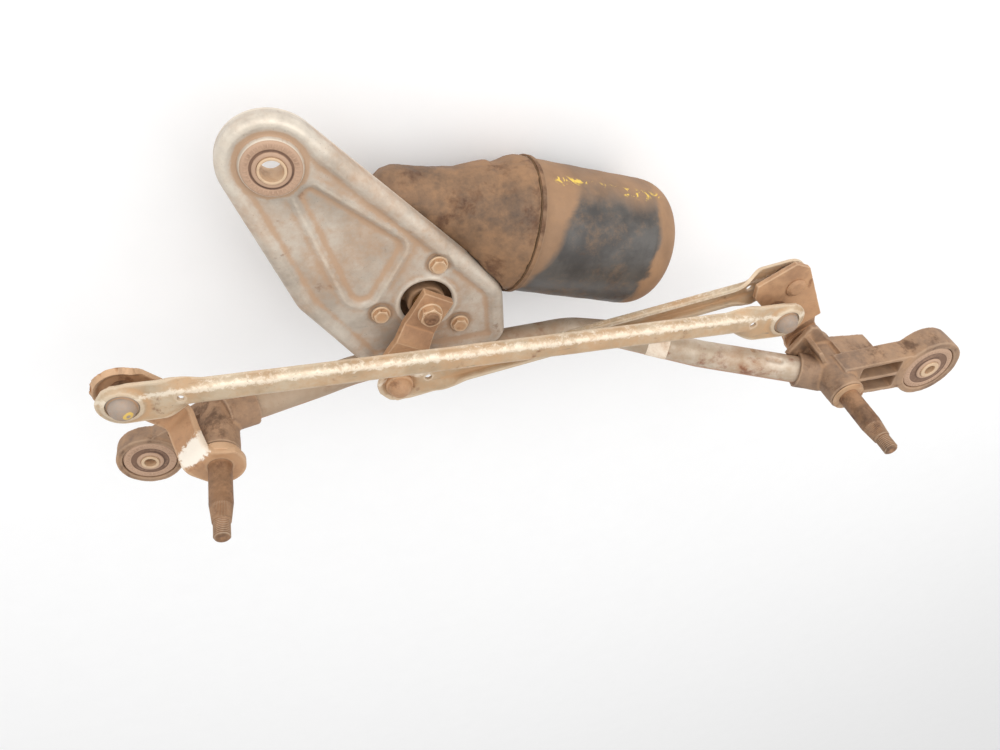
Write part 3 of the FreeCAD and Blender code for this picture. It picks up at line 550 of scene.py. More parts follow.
def insideLoop(points, loop):
    x, y = points[:, 0:1], points[:, 1:2]
    x0, y0 = loop[:, 0], loop[:, 1]
    x1, y1 = np.roll(x0, -1), np.roll(y0, -1)
    crosses = (y0 > y) != (y1 > y)
    rise = np.where(np.abs(y1 - y0) < 1e-9, 1e-9, y1 - y0)
    return (crosses & (x < (x1 - x0) * (y - y0) / rise + x0)).sum(axis=1) % 2 == 1


def gapTo(points, loop):
    along = np.roll(loop, -1, axis=0) - loop
    share = ((points[:, None, :] - loop) * along).sum(2) / ((along ** 2).sum(1) + 1e-12)
    nearest = loop + np.clip(share, 0, 1)[..., None] * along
    return np.sqrt(((points[:, None, :] - nearest) ** 2).sum(2).min(axis=1))


def circleLoop(x, y, r, step=0.8):
    count = max(20, int(2 * math.pi * r / step))
    return np.array([(x + r * math.cos(2 * math.pi * i / count), y + r * math.sin(2 * math.pi * i / count))
                     for i in range(count)])


def spaced(loop, step):
    # the same closed outline with points about one step apart
    out = []
    for a, b in zip(loop, np.roll(loop, -1, axis=0)):
        count = max(1, round(float(np.linalg.norm(b - a)) / step))
        out += [a + (b - a) * i / count for i in range(count)]
    return np.array(out)


def beltLoop(circles, inset=0.0, step=1.2):
    # outer tangents round a list of (x, y, r), anticlockwise
    turns = []
    for i, (x0, y0, r0) in enumerate(circles):
        x1, y1, r1 = circles[(i + 1) % len(circles)]
        turns.append(math.atan2(y1 - y0, x1 - x0) - math.acos((r0 - r1) / math.hypot(x1 - x0, y1 - y0)))
    loop = []
    for i, (x, y, r) in enumerate(circles):
        a, b = turns[i - 1], turns[i]
        while b < a:
            b += 2 * math.pi
        count = max(3, int((b - a) * r / step))
        loop += [(x + (r - inset) * math.cos(a + (b - a) * k / count),
                  y + (r - inset) * math.sin(a + (b - a) * k / count)) for k in range(count + 1)]
    return spaced(np.array(loop), step)


def pressedSheet(name, outline, holes, place, thickness, pitch=1.3, rings=(), skirt=(), bevel=0.3):
    # triangulates the flat blank, bends it with place(u, v), then gives it thickness and rounded rims
    low, high = outline.min(0), outline.max(0)
    rows = np.arange(low[1] - pitch, high[1] + pitch, pitch * 0.87)
    grid = np.array([(x + (pitch / 2 if k % 2 else 0), y) for k, y in enumerate(rows)
                     for x in np.arange(low[0] - pitch, high[0] + pitch, pitch)])
    grid = grid[insideLoop(grid, outline)]
    for loop in [outline] + list(holes) + list(rings):
        grid = grid[gapTo(grid, loop) > pitch * 0.55]
    for hole in holes:
        grid = grid[~insideLoop(grid, hole)]
    loops = [outline] + list(holes) + list(rings)
    flat, edges = [], []
    for loop in loops:
        first = len(flat)
        flat += [Vector(p) for p in loop]
        edges += [(first + i, first + (i + 1) % len(loop)) for i in range(len(loop))]
    flat += [Vector(p) for p in grid]
    found = delaunay_2d_cdt(flat, edges, [], 0, 1e-5)
    blank = np.array([(p.x, p.y) for p in found[0]])
    faces = np.array([f for f in found[2] if len(f) == 3])
    middles = blank[faces].mean(axis=1)
    keep = insideLoop(middles, outline)
    for hole in holes:
        keep &= ~insideLoop(middles, hole)
    faces = faces[keep]
    front = place(blank)
    used = {}
    for face in faces.tolist():
        for i in range(3):
            used[(face[i], face[(i + 1) % 3])] = True
    border = [(a, b) for a, b in used if (b, a) not in used]
    faceList = faces.tolist()
    if skirt:
        onOutline = set(np.nonzero(gapTo(blank, outline) < 1e-3)[0].tolist())
        rim = [(a, b) for a, b in border if a in onOutline and b in onOutline]
        border = [e for e in border if e not in set(rim)]
        level = {v: v for e in rim for v in e}
        points = list(front)
        for z in skirt:
            lower = {}
            for v in level:
                lower[v] = len(points)
                p = front[v].copy()
                p[2] = z
                points.append(p)
            for a, b in rim:
                faceList.append([level[b], level[a], lower[a], lower[b]])
            level = lower
        border += [(level[a], level[b]) for a, b in rim]
        front = np.array(points)
    normals = np.zeros_like(front)
    for face in faceList:
        p = front[face]
        n = np.cross(p[1] - p[0], p[2] - p[0]) + (np.cross(p[2] - p[0], p[3] - p[0]) if len(face) == 4 else 0)
        for v in face:
            normals[v] += n
    size = np.linalg.norm(normals, axis=1, keepdims=True)
    normals = normals / np.where(size < 1e-12, 1, size)
    back = front - normals * thickness
    count = len(front)
    faceList = faceList + [[v + count for v in reversed(f)] for f in faceList]
    faceList += [[b, a, a + count, b + count] for a, b in border]
    obj = meshPiece(name, np.vstack([front, back]), faceList)
    addModifier(obj, "WELD", merge_threshold=0.000002)
    if bevel:
        addModifier(obj, "BEVEL", width=bevel * mm, segments=2, limit_method="ANGLE",
                    angle_limit=math.radians(55), use_clamp_overlap=True)
    return applied(obj)


def smoothStep(value, low, high):
    t = np.clip((value - low) / (high - low), 0, 1)
    return t * t * (3 - 2 * t)


def moved(obj, degrees=0.0, at=(0, 0, 0), flip=False):
    turn = Matrix.Rotation(math.radians(180), 4, "X") if flip else Matrix.Identity(4)
    turn = Matrix.Rotation(math.radians(degrees), 4, "Z") @ turn
    obj.data.transform(Matrix.Translation(Vector(at) * mm) @ turn)
    obj.data.update()
    return obj


# driving places, the same as the part's own

linkage = {"rightPivot": (426.7, -32.8), "crankAxis": (143.9, 40.3), "crankBall": (116.8, -1.2),
           "leverRadius": 63.8, "leverAngle": 131.1, "driveRadius": 72.5, "driveAngle": 115.6}
levels = {"longRod": -17.0, "crankRod": -41.5, "crankArm": -60.0, "plate": -69.0}


def polar(r, degrees, at=(0, 0)):
    a = math.radians(degrees)
    return (at[0] + r * math.cos(a), at[1] + r * math.sin(a))


leftBall = polar(linkage["leverRadius"], linkage["leverAngle"])
rightBall = polar(linkage["leverRadius"], linkage["leverAngle"], linkage["rightPivot"])
driveBall = polar(linkage["driveRadius"], linkage["driveAngle"], linkage["rightPivot"])


# geometry node trees

def nodeTree(name, inputs):
    tree = bpy.data.node_groups.new(name, "GeometryNodeTree")
    tree.interface.new_socket(name="Geometry", in_out="INPUT", socket_type="NodeSocketGeometry")
    keys = {}
    for title, kind in inputs.items():
        keys[title] = tree.interface.new_socket(name=title, in_out="INPUT", socket_type=kind).identifier
    tree.interface.new_socket(name="Geometry", in_out="OUTPUT", socket_type="NodeSocketGeometry")
    return tree, keys, tree.nodes.new("NodeGroupInput").outputs, tree.nodes.new("NodeGroupOutput").inputs


def closeTree(tree, geometry, given, out):
    real = addNode(tree, "GeometryNodeRealizeInstances", {0: geometry}).outputs[0]
    painted = addNode(tree, "GeometryNodeSetMaterial", {"Geometry": real, "Material": given["Material"]})
    tree.links.new(painted.outputs[0], out[0])


def buildCopiesTree():
    # one copy of a part on every vertex, each turned a little differently
    inputs = {"Part": "NodeSocketObject", "Material": "NodeSocketMaterial", "Seed": "NodeSocketInt",
              "Turn": "NodeSocketFloat"}
    tree, keys, given, out = nodeTree("copiesOnPoints", inputs)
    part = addNode(tree, "GeometryNodeObjectInfo", {"Object": given["Part"]}).outputs["Geometry"]
    turn = addNode(tree, "FunctionNodeRandomValue", {"Seed": given["Seed"]}, data_type="FLOAT")
    tree.links.new(given["Turn"], turn.inputs[3])
    facing = addNode(tree, "ShaderNodeCombineXYZ", {2: turn.outputs[1]}).outputs[0]
    placed = addNode(tree, "GeometryNodeInstanceOnPoints",
                     {"Points": given["Geometry"], "Instance": part, "Rotation": facing})
    closeTree(tree, placed.outputs[0], given, out)
    return tree, keys


def buildRingTree():
    # evenly spaced copies of a part round a circle, all facing outwards
    inputs = {"Part": "NodeSocketObject", "Material": "NodeSocketMaterial", "Count": "NodeSocketInt",
              "Radius": "NodeSocketFloat", "Centre": "NodeSocketVector"}
    tree, keys, given, out = nodeTree("copiesOnRing", inputs)
    part = addNode(tree, "GeometryNodeObjectInfo", {"Object": given["Part"]}).outputs["Geometry"]
    spots = addNode(tree, "GeometryNodePoints", {"Count": given["Count"]}).outputs[0]
    index = addNode(tree, "GeometryNodeInputIndex").outputs[0]
    share = sums(tree, "DIVIDE", index, given["Count"])
    angle = sums(tree, "MULTIPLY", share, 2 * math.pi)
    x = sums(tree, "MULTIPLY", sums(tree, "COSINE", angle), given["Radius"])
    y = sums(tree, "MULTIPLY", sums(tree, "SINE", angle), given["Radius"])
    onRing = addNode(tree, "ShaderNodeCombineXYZ", {0: x, 1: y}).outputs[0]
    place = addNode(tree, "ShaderNodeVectorMath", {0: onRing, 1: given["Centre"]}, operation="ADD").outputs[0]
    spread = addNode(tree, "GeometryNodeSetPosition", {"Geometry": spots, "Position": place}).outputs[0]
    facing = addNode(tree, "ShaderNodeCombineXYZ", {2: angle}).outputs[0]
    placed = addNode(tree, "GeometryNodeInstanceOnPoints",
                     {"Points": spread, "Instance": part, "Rotation": facing})
    closeTree(tree, placed.outputs[0], given, out)
    return tree, keys


def buildTubeTree():
    # round tube along a curve whose corners are filleted, with a slightly uneven wall
    inputs = {"Material": "NodeSocketMaterial", "Tube Radius": "NodeSocketFloat", "Step": "NodeSocketFloat",
              "Dent": "NodeSocketFloat", "Dent Scale": "NodeSocketFloat"}
    tree, keys, given, out = nodeTree("tubeAlongPath", inputs)
    bend = addNode(tree, "GeometryNodeInputRadius").outputs[0]
    path = addNode(tree, "GeometryNodeFilletCurve", {"Curve": given["Geometry"], "Radius": bend})
    for socket in path.inputs:
        if socket.name == "Count":
            socket.default_value = 12
        if socket.name == "Mode":
            socket.default_value = "Poly"
    if hasattr(path, "mode"):
        path.mode = "POLY"
    even = addNode(tree, "GeometryNodeResampleCurve", {"Curve": path.outputs[0], "Length": given["Step"]},
                   mode="LENGTH")
    inputs = {"Resolution": 56, "Radius": given["Tube Radius"]}
    ring = addNode(tree, "GeometryNodeCurvePrimitiveCircle", inputs)
    inputs = {"Curve": even.outputs[0], "Profile Curve": ring.outputs[0], "Fill Caps": True}
    wall = addNode(tree, "GeometryNodeCurveToMesh", inputs).outputs[0]
    position = addNode(tree, "GeometryNodeInputPosition").outputs[0]
    normal = addNode(tree, "GeometryNodeInputNormal").outputs[0]
    inputs = {"Vector": position, "Scale": given["Dent Scale"], "Detail": 2.0}
    dents = addNode(tree, "ShaderNodeTexNoise", inputs)
    push = sums(tree, "MULTIPLY", sums(tree, "SUBTRACT", dents.outputs[0], 0.5), given["Dent"])
    offset = addNode(tree, "ShaderNodeVectorMath", {0: normal}, operation="SCALE")
    tree.links.new(push, offset.inputs["Scale"])
    uneven = addNode(tree, "GeometryNodeSetPosition", {"Geometry": wall, "Offset": offset.outputs[0]})
    closeTree(tree, uneven.outputs[0], given, out)
    return tree, keys


trees = {"copies": buildCopiesTree(), "ring": buildRingTree(), "tube": buildTubeTree()}


def grown(host, treeName, name, **values):
    # runs one of the trees on a host object and keeps only the finished plain mesh
    tree, keys = trees[treeName]
    made = host.modifiers.new("Grow", "NODES")
    made.node_group = tree
    for title, value in values.items():
        made[keys[title]] = value
    bpy.context.view_layer.update()
    graph = bpy.context.evaluated_depsgraph_get()
    mesh = bpy.data.meshes.new_from_object(host.evaluated_get(graph))
    mesh.name = name
    obj = bpy.data.objects.new(name, mesh)
    bpy.context.collection.objects.link(obj)
    host.modifiers.clear()
    for used in [host] + [v for v in values.values() if isinstance(v, bpy.types.Object)]:
        bpy.data.objects.remove(used)
    return obj


# motor plate

plateShape = {
    "outline": [(65.0, 152.5, 30.0), (84.0, 62.0, 24.0), (104.0, 2.0, 10.0), (185.0, 5.0, 13.0),
                (167.0, 32.0, 30.0)],
    "eye": (65.0, 153.5), "eyeRadius": 17.0, "openingRadius": 17.4, "boltCircle": 31.0,
    "boltAngles": (72.0, 186.0, 314.0), "boltHole": 3.3, "sheet": 2.2, "depth": 12.0,
    "beadWidth": 13.5, "beadFall": 2.6, "panel": [(82.0, 131.0, 5.0), (103.0, 58.0, 8.0), (124.0, 88.0, 7.0)],
    "panelDepth": 2.0, "padRadius": 9.0, "padDepth": 1.5,
}


def platePlaces():
    return [polar(plateShape["boltCircle"], a, linkage["crankAxis"]) for a in plateShape["boltAngles"]]


def platePlace(blank):
    s = plateShape
    outline = beltLoop(s["outline"])
    d = gapTo(blank, outline)
    corner = 6.2
    z = np.where(d < corner, -corner + np.sqrt(np.clip(corner ** 2 - (corner - d) ** 2, 0, None)), 0.0)
    z = z - s["beadFall"] * smoothStep(d, 7.5, s["beadWidth"])
    panel = beltLoop(s["panel"])
    inside = np.where(insideLoop(blank, panel), 1, -1) * gapTo(blank, panel)
    z = z - s["panelDepth"] * smoothStep(inside, -3.2, 1.6)
    z = z + 0.9 * np.exp(-((inside + 4.6) / 2.2) ** 2)          # raised shoulder round the panel
    eye = np.hypot(blank[:, 0] - s["eye"][0], blank[:, 1] - s["eye"][1])
    z = z * smoothStep(eye, s["eyeRadius"] + 1.5, s["eyeRadius"] + 9) + np.where(
        eye < s["eyeRadius"] + 9, -2.0 * (1 - smoothStep(eye, s["eyeRadius"] + 1.5, s["eyeRadius"] + 9)), 0)
    z = z + 3.4 * (1 - smoothStep(eye, s["eyeRadius"] - 0.2, s["eyeRadius"] + 1.6))
    for x, y in platePlaces():
        r = np.hypot(blank[:, 0] - x, blank[:, 1] - y)
        z = z - s["padDepth"] * (1 - smoothStep(r, s["padRadius"] - 1.8, s["padRadius"] + 1.2))
    hub = np.hypot(blank[:, 0] - linkage["crankAxis"][0], blank[:, 1] - linkage["crankAxis"][1])
    z = z + 0.9 * (1 - smoothStep(hub, s["openingRadius"] + 2.0, s["openingRadius"] + 5.0))
    z = z - 1.6 * (1 - smoothStep(hub, s["openingRadius"] - 0.2, s["openingRadius"] + 1.4))
    # the pressing is a little uneven all over
    z = z + np.array([0.35 * noise.noise(Vector((x * 0.035, y * 0.035, 3.0))) for x, y in blank])
    return np.column_stack([blank, np.minimum(z, 1.4) + levels["plate"]])


def makePlate():
    s = plateShape
    outline = beltLoop(s["outline"])
    rings = [beltLoop(s["outline"], inset) for inset in (0.12, 0.5, 1.15, 2.1, 3.4, 4.9)]
    holes = [circleLoop(*s["eye"], s["eyeRadius"]), circleLoop(*linkage["crankAxis"], s["openingRadius"])]
    holes += [circleLoop(x, y, s["boltHole"]) for x, y in platePlaces()]
    rims = [circleLoop(*s["eye"], s["eyeRadius"] + g) for g in (0.8, 1.6)]
    rims += [circleLoop(*linkage["crankAxis"], s["openingRadius"] + g) for g in (0.8, 1.6)]
    skirt = [levels["plate"] - z for z in (8.0, 10.0, s["depth"])]
    obj = pressedSheet("motorPlatePressing", outline, holes, platePlace, s["sheet"], 1.5, rings + rims, skirt)
    settle(obj, finishes["galvanisedPlate"], "frame", ["motor_plate"], 0.003, 2)


makePlate()
print("stage: motor plate")


# rods

rodShape = {"eyeRadius": 14.5, "blankHalf": 13.3, "foldRadius": 3.5, "webHalf": 7.3, "foldFrom": 20.0,
            "foldTo": 46.0, "sheet": 2.4, "cupHole": 9.3, "dish": 2.2,
            "ridgeAt": 5.0}


def rodFinish(name, a, b):
    # pale worn ridge along the upper fold, crossed by short dark scratches
    look = looks["rodSteel"]
    stack = startFinish(name, look)
    tree = stack["tree"]
    length = math.dist(a, b)
    across = (-(b[1] - a[1]) / length, (b[0] - a[0]) / length, 0)
    middle = (a[0] * across[0] + a[1] * across[1] + rodShape["ridgeAt"]) * mm
    rise = addNode(tree, "ShaderNodeVectorMath", {0: stack["place"], 1: across}, operation="DOT_PRODUCT")
    off = sums(tree, "ABSOLUTE", sums(tree, "SUBTRACT", rise.outputs["Value"], middle))
    broken = sums(tree, "MULTIPLY", noiseAt(tree, stack["place"], 240.0, 8.0, 0.75, 0.4), 0.012)
    ridge = remap(tree, sums(tree, "ADD", off, broken), 0.0062, 0.0086, 1.0, 0.0)
    layer(stack, sums(tree, "MULTIPLY", ridge, 0.7), srgb(240, 228, 208), 0.4, 0.15)
    grit = remap(tree, noiseAt(tree, stack["place"], 420.0, 6.0, 0.75, 1.0), 0.6, 0.66)
    scratched = sums(tree, "MULTIPLY", grit, ridge)
    layer(stack, sums(tree, "MULTIPLY", scratched, 0.75), srgb(112, 88, 68), 0.7, 0.0)
    return closeFinish(stack, look)


def rodPiece(name, a, b, face, flip, smallHoles, look, body, node):
    s = rodShape
    length = math.dist(a, b)
    angle = math.degrees(math.atan2(b[1] - a[1], b[0] - a[0]))
    eye = s["eyeRadius"]
    side = [(0, -eye), (20, -eye + 0.2), (44, -s["blankHalf"]), (length - 44, -s["blankHalf"]),
            (length - 20, -eye + 0.2), (length, -eye)]
    quarter = math.pi / 2
    arcRight = [(length + eye * math.cos(t), eye * math.sin(t)) for t in np.linspace(-quarter, quarter, 24)]
    arcLeft = [(-eye * math.cos(t), eye * math.sin(t)) for t in np.linspace(quarter, -quarter, 24)]
    loop = side + arcRight[1:] + [(x, -y) for x, y in reversed(side)][1:] + arcLeft[1:-1]
    outline = spaced(np.array(loop), 1.3)
    flat = s["webHalf"] - s["foldRadius"]

    def place(blank):
        u, w = blank[:, 0], blank[:, 1]
        inward = np.minimum(u, length - u)
        fold = math.radians(86) * smoothStep(inward, s["foldFrom"], s["foldTo"])
        extra = np.clip(np.abs(w) - flat, 0, None)
        turned = np.minimum(extra / s["foldRadius"], fold)
        rest = extra - turned * s["foldRadius"]
        y = flat + s["foldRadius"] * np.sin(turned) + rest * np.cos(fold)
        y = np.where(extra > 0, y, np.abs(w)) * np.sign(w)
        z = np.where(extra > 0, -s["foldRadius"] * (1 - np.cos(turned)) - rest * np.sin(fold), 0)
        for x in (0, length):
            r = np.hypot(u - x, w)
            z = z + s["dish"] * (1 - smoothStep(r, s["cupHole"] + 1.0, s["cupHole"] + 4.4))
        z = z + np.array([0.25 * noise.noise(Vector((x * 0.05, v * 0.08, 7.0))) for x, v in blank])
        return np.column_stack([u, y, z])

    holes = [circleLoop(0, 0, s["cupHole"]), circleLoop(length, 0, s["cupHole"])]
    holes += [circleLoop(x, 0, r, 0.6) for x, r in smallHoles]
    obj = pressedSheet(name, outline, holes, place, s["sheet"], 1.5)
    moved(obj, angle, (a[0], a[1], face - (s["sheet"] if flip else 0)), flip)
    settle(obj, look, body, [node], 0.003, 2)


rodPiece("longRodChannel", leftBall, rightBall, levels["longRod"], False, [(31, 2.2), (403, 2.2)],
         rodFinish("longRodSteel", leftBall, rightBall), "long_rod", "long_rod_bar")
rodPiece("crankRodChannel", linkage["crankBall"], driveBall, levels["crankRod"], True,
         [(20, 2.3), (252, 2.3)],
         rodFinish("crankRodSteel", linkage["crankBall"], driveBall), "crank_rod", "crank_rod_bar")
print("stage: rods")


# frame tube

tubeShape = {
    "route": [(16, 2, -44), (60, -8, -64), (95, -15, -80), (250, -16, -80), (284, -19, -70),
              (339, -27, -42), (412, -34.7, -11)],
    "bends": [0, 45, 60, 60, 60, 90, 0], "radius": 10.0, "step": 0.9, "dent": 0.5, "dentScale": 40.0,
    "dimples": [((375.5, -21.0, -29.2), (375.5, -21.0, -29.2)),          # round
                ((383.0, -22.3, -19.6), (390.9, -23.4, -15.8))],         # slot
    "dimpleRadius": 2.6, "dimpleDepth": 1.3,
}


def tubeFinish():
    # painted shade along the underside (the side facing -Y, away from the key light), and the left half
    # browner than the right
    look = looks["tubeSteel"]
    stack = startFinish("tubeSteelAgedAndShaded", look)
    tree = stack["tree"]
    place = addNode(tree, "ShaderNodeSeparateXYZ", {0: stack["place"]}).outputs["X"]
    ragged = noiseAt(tree, stack["place"], 26.0, 6.0, 0.65, 0.6)
    left = remap(tree, sums(tree, "MULTIPLY_ADD", ragged, 0.12, place), 0.16, 0.38, 1.0, 0.0)
    brown = mixColour(tree, ragged, srgb(150, 126, 103), srgb(176, 148, 118))
    layer(stack, sums(tree, "MULTIPLY", left, 0.75), brown, 0.6, 0.1)
    # painted shade: the side facing -Y, away from the key light, is darkened to a brown
    under = remap(tree, sums(tree, "MULTIPLY_ADD", ragged, 0.9, attribute(tree, "under")), 0.75, 1.15)
    layer(stack, sums(tree, "MULTIPLY", under, 0.8), srgb(178, 128, 94), 0.8, 0.0)
    return closeFinish(stack, look)


def dimpled(obj, places, radius, depth):
    # shallow round or slot-shaped dimples pressed into the wall round the given points
    points, normals = vertexArray(obj.data), vertexArray(obj.data, "normal")
    for a, b in places:
        a, b = np.array(a) * mm, np.array(b) * mm
        way = b - a
        share = np.clip(((points - a) @ way) / max(way @ way, 1e-12), 0, 1)
        gap = np.linalg.norm(points - (a + share[:, None] * way), axis=1) / mm
        points = points - normals * (depth * mm * (1 - smoothStep(gap, radius * 0.5, radius)))[:, None]
    obj.data.vertices.foreach_set("co", points.ravel())
    obj.data.update()


def makeTube():
    s = tubeShape
    curve = bpy.data.curves.new("tubeRoute", "CURVE")
    curve.dimensions = "3D"
    line = curve.splines.new("POLY")
    line.points.add(len(s["route"]) - 1)
    for point, at in zip(line.points, s["route"]):
        point.co = tuple(c * mm for c in at) + (1,)
    host = bpy.data.objects.new("tubeRoute", curve)
    bpy.context.collection.objects.link(host)
    # the bend radius travels to the tree as the radius of each curve point
    for point, bend in zip(line.points, s["bends"]):
        point.radius = bend * mm
    finish = tubeFinish()
    obj = grown(host, "tube", "frameTubeBent", Material=finish, Step=s["step"] * mm,
                Dent=s["dent"] * mm, **{"Tube Radius": s["radius"] * mm, "Dent Scale": s["dentScale"]})
    dimpled(obj, s["dimples"], s["dimpleRadius"], s["dimpleDepth"])
    # how far each vertex faces -Y, away from the key light; the finish paints shade there
    under = obj.data.attributes.new("under", "FLOAT", "POINT")
    under.data.foreach_set("value", np.clip(-vertexArray(obj.data, "normal")[:, 1], 0, 1).astype(np.float32))
    settle(obj, finish, "frame", ["frame_tube"])


# castings, levers and the crank arm

castings = [
    ("left_housing", "leftHousingCasting", "frame", "castAluminium", "cast_aluminium", 0.6, 6, 0.25),
    ("right_housing", "rightHousingCasting", "frame", "castAluminium", "cast_aluminium", 0.7, 6, 0.25),
    ("gearbox_housing", "gearboxCasting", "frame", "gearboxCasting", "cast_aluminium", 0.9, 8, 0.4),
    ("right_lever", "rightLeverForging", "right_pivot", "leverSteel", "lever_steel", 0.5, 4, 0.12),
    ("crank_arm", "crankArmForging", "crank", "leverSteel", "lever_steel", 0.4, 3, 0.08),
]


# the last three entries place the painted highlight on the strap's bend near the hub
leverShape = {"hub": 15.2, "end": 16.0, "sheet": 4.0, "path": [(-16, 0), (14.6, 0), (26.6, -30), (81, -30)],
              "foldRadius": (9.0, 2.5), "waist": (22, -34.3, 28.6), "lip": 4.2,
              "highlightAt": 16.5, "highlightLevel": -0.005, "highlightSize": (0.0052, 0.018, 0.012)}


def leverFinish():
    look = looks["leverSteel"]
    return closeFinish(startFinish("leverSteel", look), look)


def leftLeverFinish():
    # painted highlight: the convex bend of the strap's step is painted near white where light glints off it
    look = looks["leverSteel"]
    stack = startFinish("leftLeverSteel", look)
    tree = stack["tree"]
    turn = math.radians(linkage["leverAngle"])
    at = polar(leverShape["highlightAt"], linkage["leverAngle"])
    where = (at[0] * mm, at[1] * mm, leverShape["highlightLevel"])
    # painted highlight: a ragged near-white, glossier patch on the bend
    paintedGlint = nearPoint(stack, where, leverShape["highlightSize"], 0.8, 260.0, (0, 0, turn))
    layer(stack, sums(tree, "MULTIPLY", paintedGlint, 0.9), srgb(246, 238, 224), 0.4, 0.1)
    return closeFinish(stack, look)


finishes["leverSteel"] = leverFinish()
finishes["leftLever"] = leftLeverFinish()
for node, name, body, look, slotName, voxel, passes, skin in castings:
    obj = softened(node, name, voxel, passes, skin)
    if len(obj.data.polygons) > 45000:
        thinned(obj, 45000 / len(obj.data.polygons))
    settle(obj, finishes[look], body, [node], 0.0022, 3, 60.0)


def filletPath(points, radii):
    # the same path with its corners rounded, as close points
    out = [np.array(points[0], float)]
    for i, radius in enumerate(radii, 1):
        here = np.array(points[i], float)
        before = np.array(points[i - 1], float) - here
        after = np.array(points[i + 1], float) - here
        before, after = before / np.linalg.norm(before), after / np.linalg.norm(after)
        half = math.acos(float(np.dot(before, after))) / 2
        reach = radius / math.tan(half)
        centre = here + (before + after) / np.linalg.norm(before + after) * (radius / math.sin(half))
        for t in np.linspace(0, 1, 14):
            chord = here + before * reach * (1 - t) + after * reach * t - centre
            out.append(centre + chord / np.linalg.norm(chord) * radius)
    return np.array(out + [np.array(points[-1], float)])


def makeLeftLever():
    s = leverShape
    length = linkage["leverRadius"]
    path = filletPath(s["path"], s["foldRadius"])
    run = np.concatenate([[0], np.cumsum(np.linalg.norm(np.diff(path, axis=0), axis=1))])
    plan = beltLoop([(0, 0, s["hub"]), (length, 0, s["end"])], step=0.8)
    x, y, r = s["waist"]
    inside = np.hypot(plan[:, 0] - x, plan[:, 1] - y) < r
    plan[inside, 1] = y + np.sqrt(np.clip(r * r - (plan[inside, 0] - x) ** 2, 0, None))
    blankLoop = spaced(np.column_stack([np.interp(plan[:, 0], path[:, 0], run), plan[:, 1]]), 1.2)
    hubAt, ballAt = np.interp([0, length], path[:, 0], run)

    def place(blank):
        u, v = blank[:, 0], blank[:, 1]
        x, z = np.interp(u, run, path[:, 0]), np.interp(u, run, path[:, 1])
        lip = 1 - smoothStep(gapTo(blank, blankLoop), 0.2, 4.2)
        z = z + s["lip"] * lip * smoothStep(u, ballAt - 2, ballAt + 6)
        z = z + np.array([0.3 * noise.noise(Vector((a * 0.06, b * 0.06, 11.0))) - 0.15 for a, b in blank])
        return np.column_stack([x, v, z])

    holes = [circleLoop(hubAt, 0, 7.45), circleLoop(ballAt, 0, 5.0)]
    obj = pressedSheet("leftLeverPressing", blankLoop, holes, place, s["sheet"], 1.2, bevel=0.9)
    moved(obj, linkage["leverAngle"])
    settle(obj, finishes["leftLever"], "left_pivot", ["left_lever"], 0.003, 3, 50.0)
    profile = [(7.45, -9.0), (13.0, -9.0), (13.0, -3.2), (7.45, -3.2)]
    hub = turnedPiece("leftLeverHub", roundedProfile(profile, 0.6, True), closed=True)
    settle(hub, finishes["leftLever"], "left_pivot", (), 0.002)


makeLeftLever()
print("stage: castings and levers")


# rubber mounts

ears = {
    "left": {"at": (-48.9, -24.5), "front": -38.0, "depth": 13.0, "bore": 16.3, "hole": 3.6, "sleeve": 5.5},
    "right": {"at": (501.4, -34.5), "front": 11.0, "depth": 19.0, "bore": 19.5, "hole": 4.0, "sleeve": 7.0},
    "plate": {"at": (65.0, 153.5), "front": -66.0, "depth": 13.0, "bore": 17.0, "hole": 6.5, "sleeve": 8.1},
}


def ridge(length, width, height):
    # low rounded bar along X, closed underneath
    points, faces = [], []
    rows = [(-1, 0), (-0.8, 0.7), (0, 1), (0.8, 0.7), (1, 0)]
    for x in (-0.5, -0.42, 0.42, 0.5):
        tall = 0.35 if abs(x) == 0.5 else 1
        points += [(x * length, y * width / 2, z * height * tall) for y, z in rows]
    for i in range(3):
        for k in range(5):
            a, b = i * 5 + k, i * 5 + (k + 1) % 5
            faces.append((a, a + 5, b + 5, b))
    faces += [(0, 1, 2, 3, 4), (19, 18, 17, 16, 15)]
    return meshPiece("ridge", points, faces)


def makeMount(side):
    s = ears[side]
    r, f, back = s["bore"], s["front"], s["front"] - s["depth"]
    inner = s["sleeve"]
    profile = [(inner, back - 1.5), (r - 5, back - 1.5), (r - 3.5, back), (r - 0.05, back + 0.5),
               (r - 0.05, f - 1.6), (r - 1.2, f - 0.7), (r - 4.4, f - 0.7), (r - 5.3, f - 1.1),
               (inner + 3.0, f - 1.1), (inner + 2.2, f + 0.2), (inner, f + 0.4)]
    rubber = turnedPiece(side + "GrommetRubber", roundedProfile(profile, 0.9, True), s["at"], closed=True)
    settle(rubber, finishes["wornRubber"], "frame", [side + "_grommet"], 0.003)
    profile = [(s["hole"], back - 2.0), (inner, back - 2.0), (inner, f + 1.2), (s["hole"], f + 1.2)]
    steel = turnedPiece(side + "SleeveSteel", roundedProfile(profile, 0.5, True), s["at"], closed=True)
    settle(steel, finishes["boltSteel"], "frame", [side + "_sleeve"], 0.002)
    host = meshPiece("ringHost", [(0, 0, 0)], [])
    middle = (r - 2.9)
    ribs = grown(host, "ring", side + "GrommetRibs", Part=ridge(2.6, 0.9, 0.35), Count=int(middle * 2.4),
                 Radius=middle * mm, Centre=tuple(c * mm for c in (*s["at"], f - 0.75)),
                 Material=finishes["wornRubber"])
    settle(ribs, finishes["wornRubber"], "frame", (), 0.001)


for side in ears:
    makeMount(side)
print("stage: rubber mounts")


# spindles

spindleShape = {"journal": 6.5, "seat": 7.4, "body": 7.0, "thread": 4.9, "pitch": 1.25, "knurl": 13.0,
                "threadLong": 11.5, "teeth": 44}


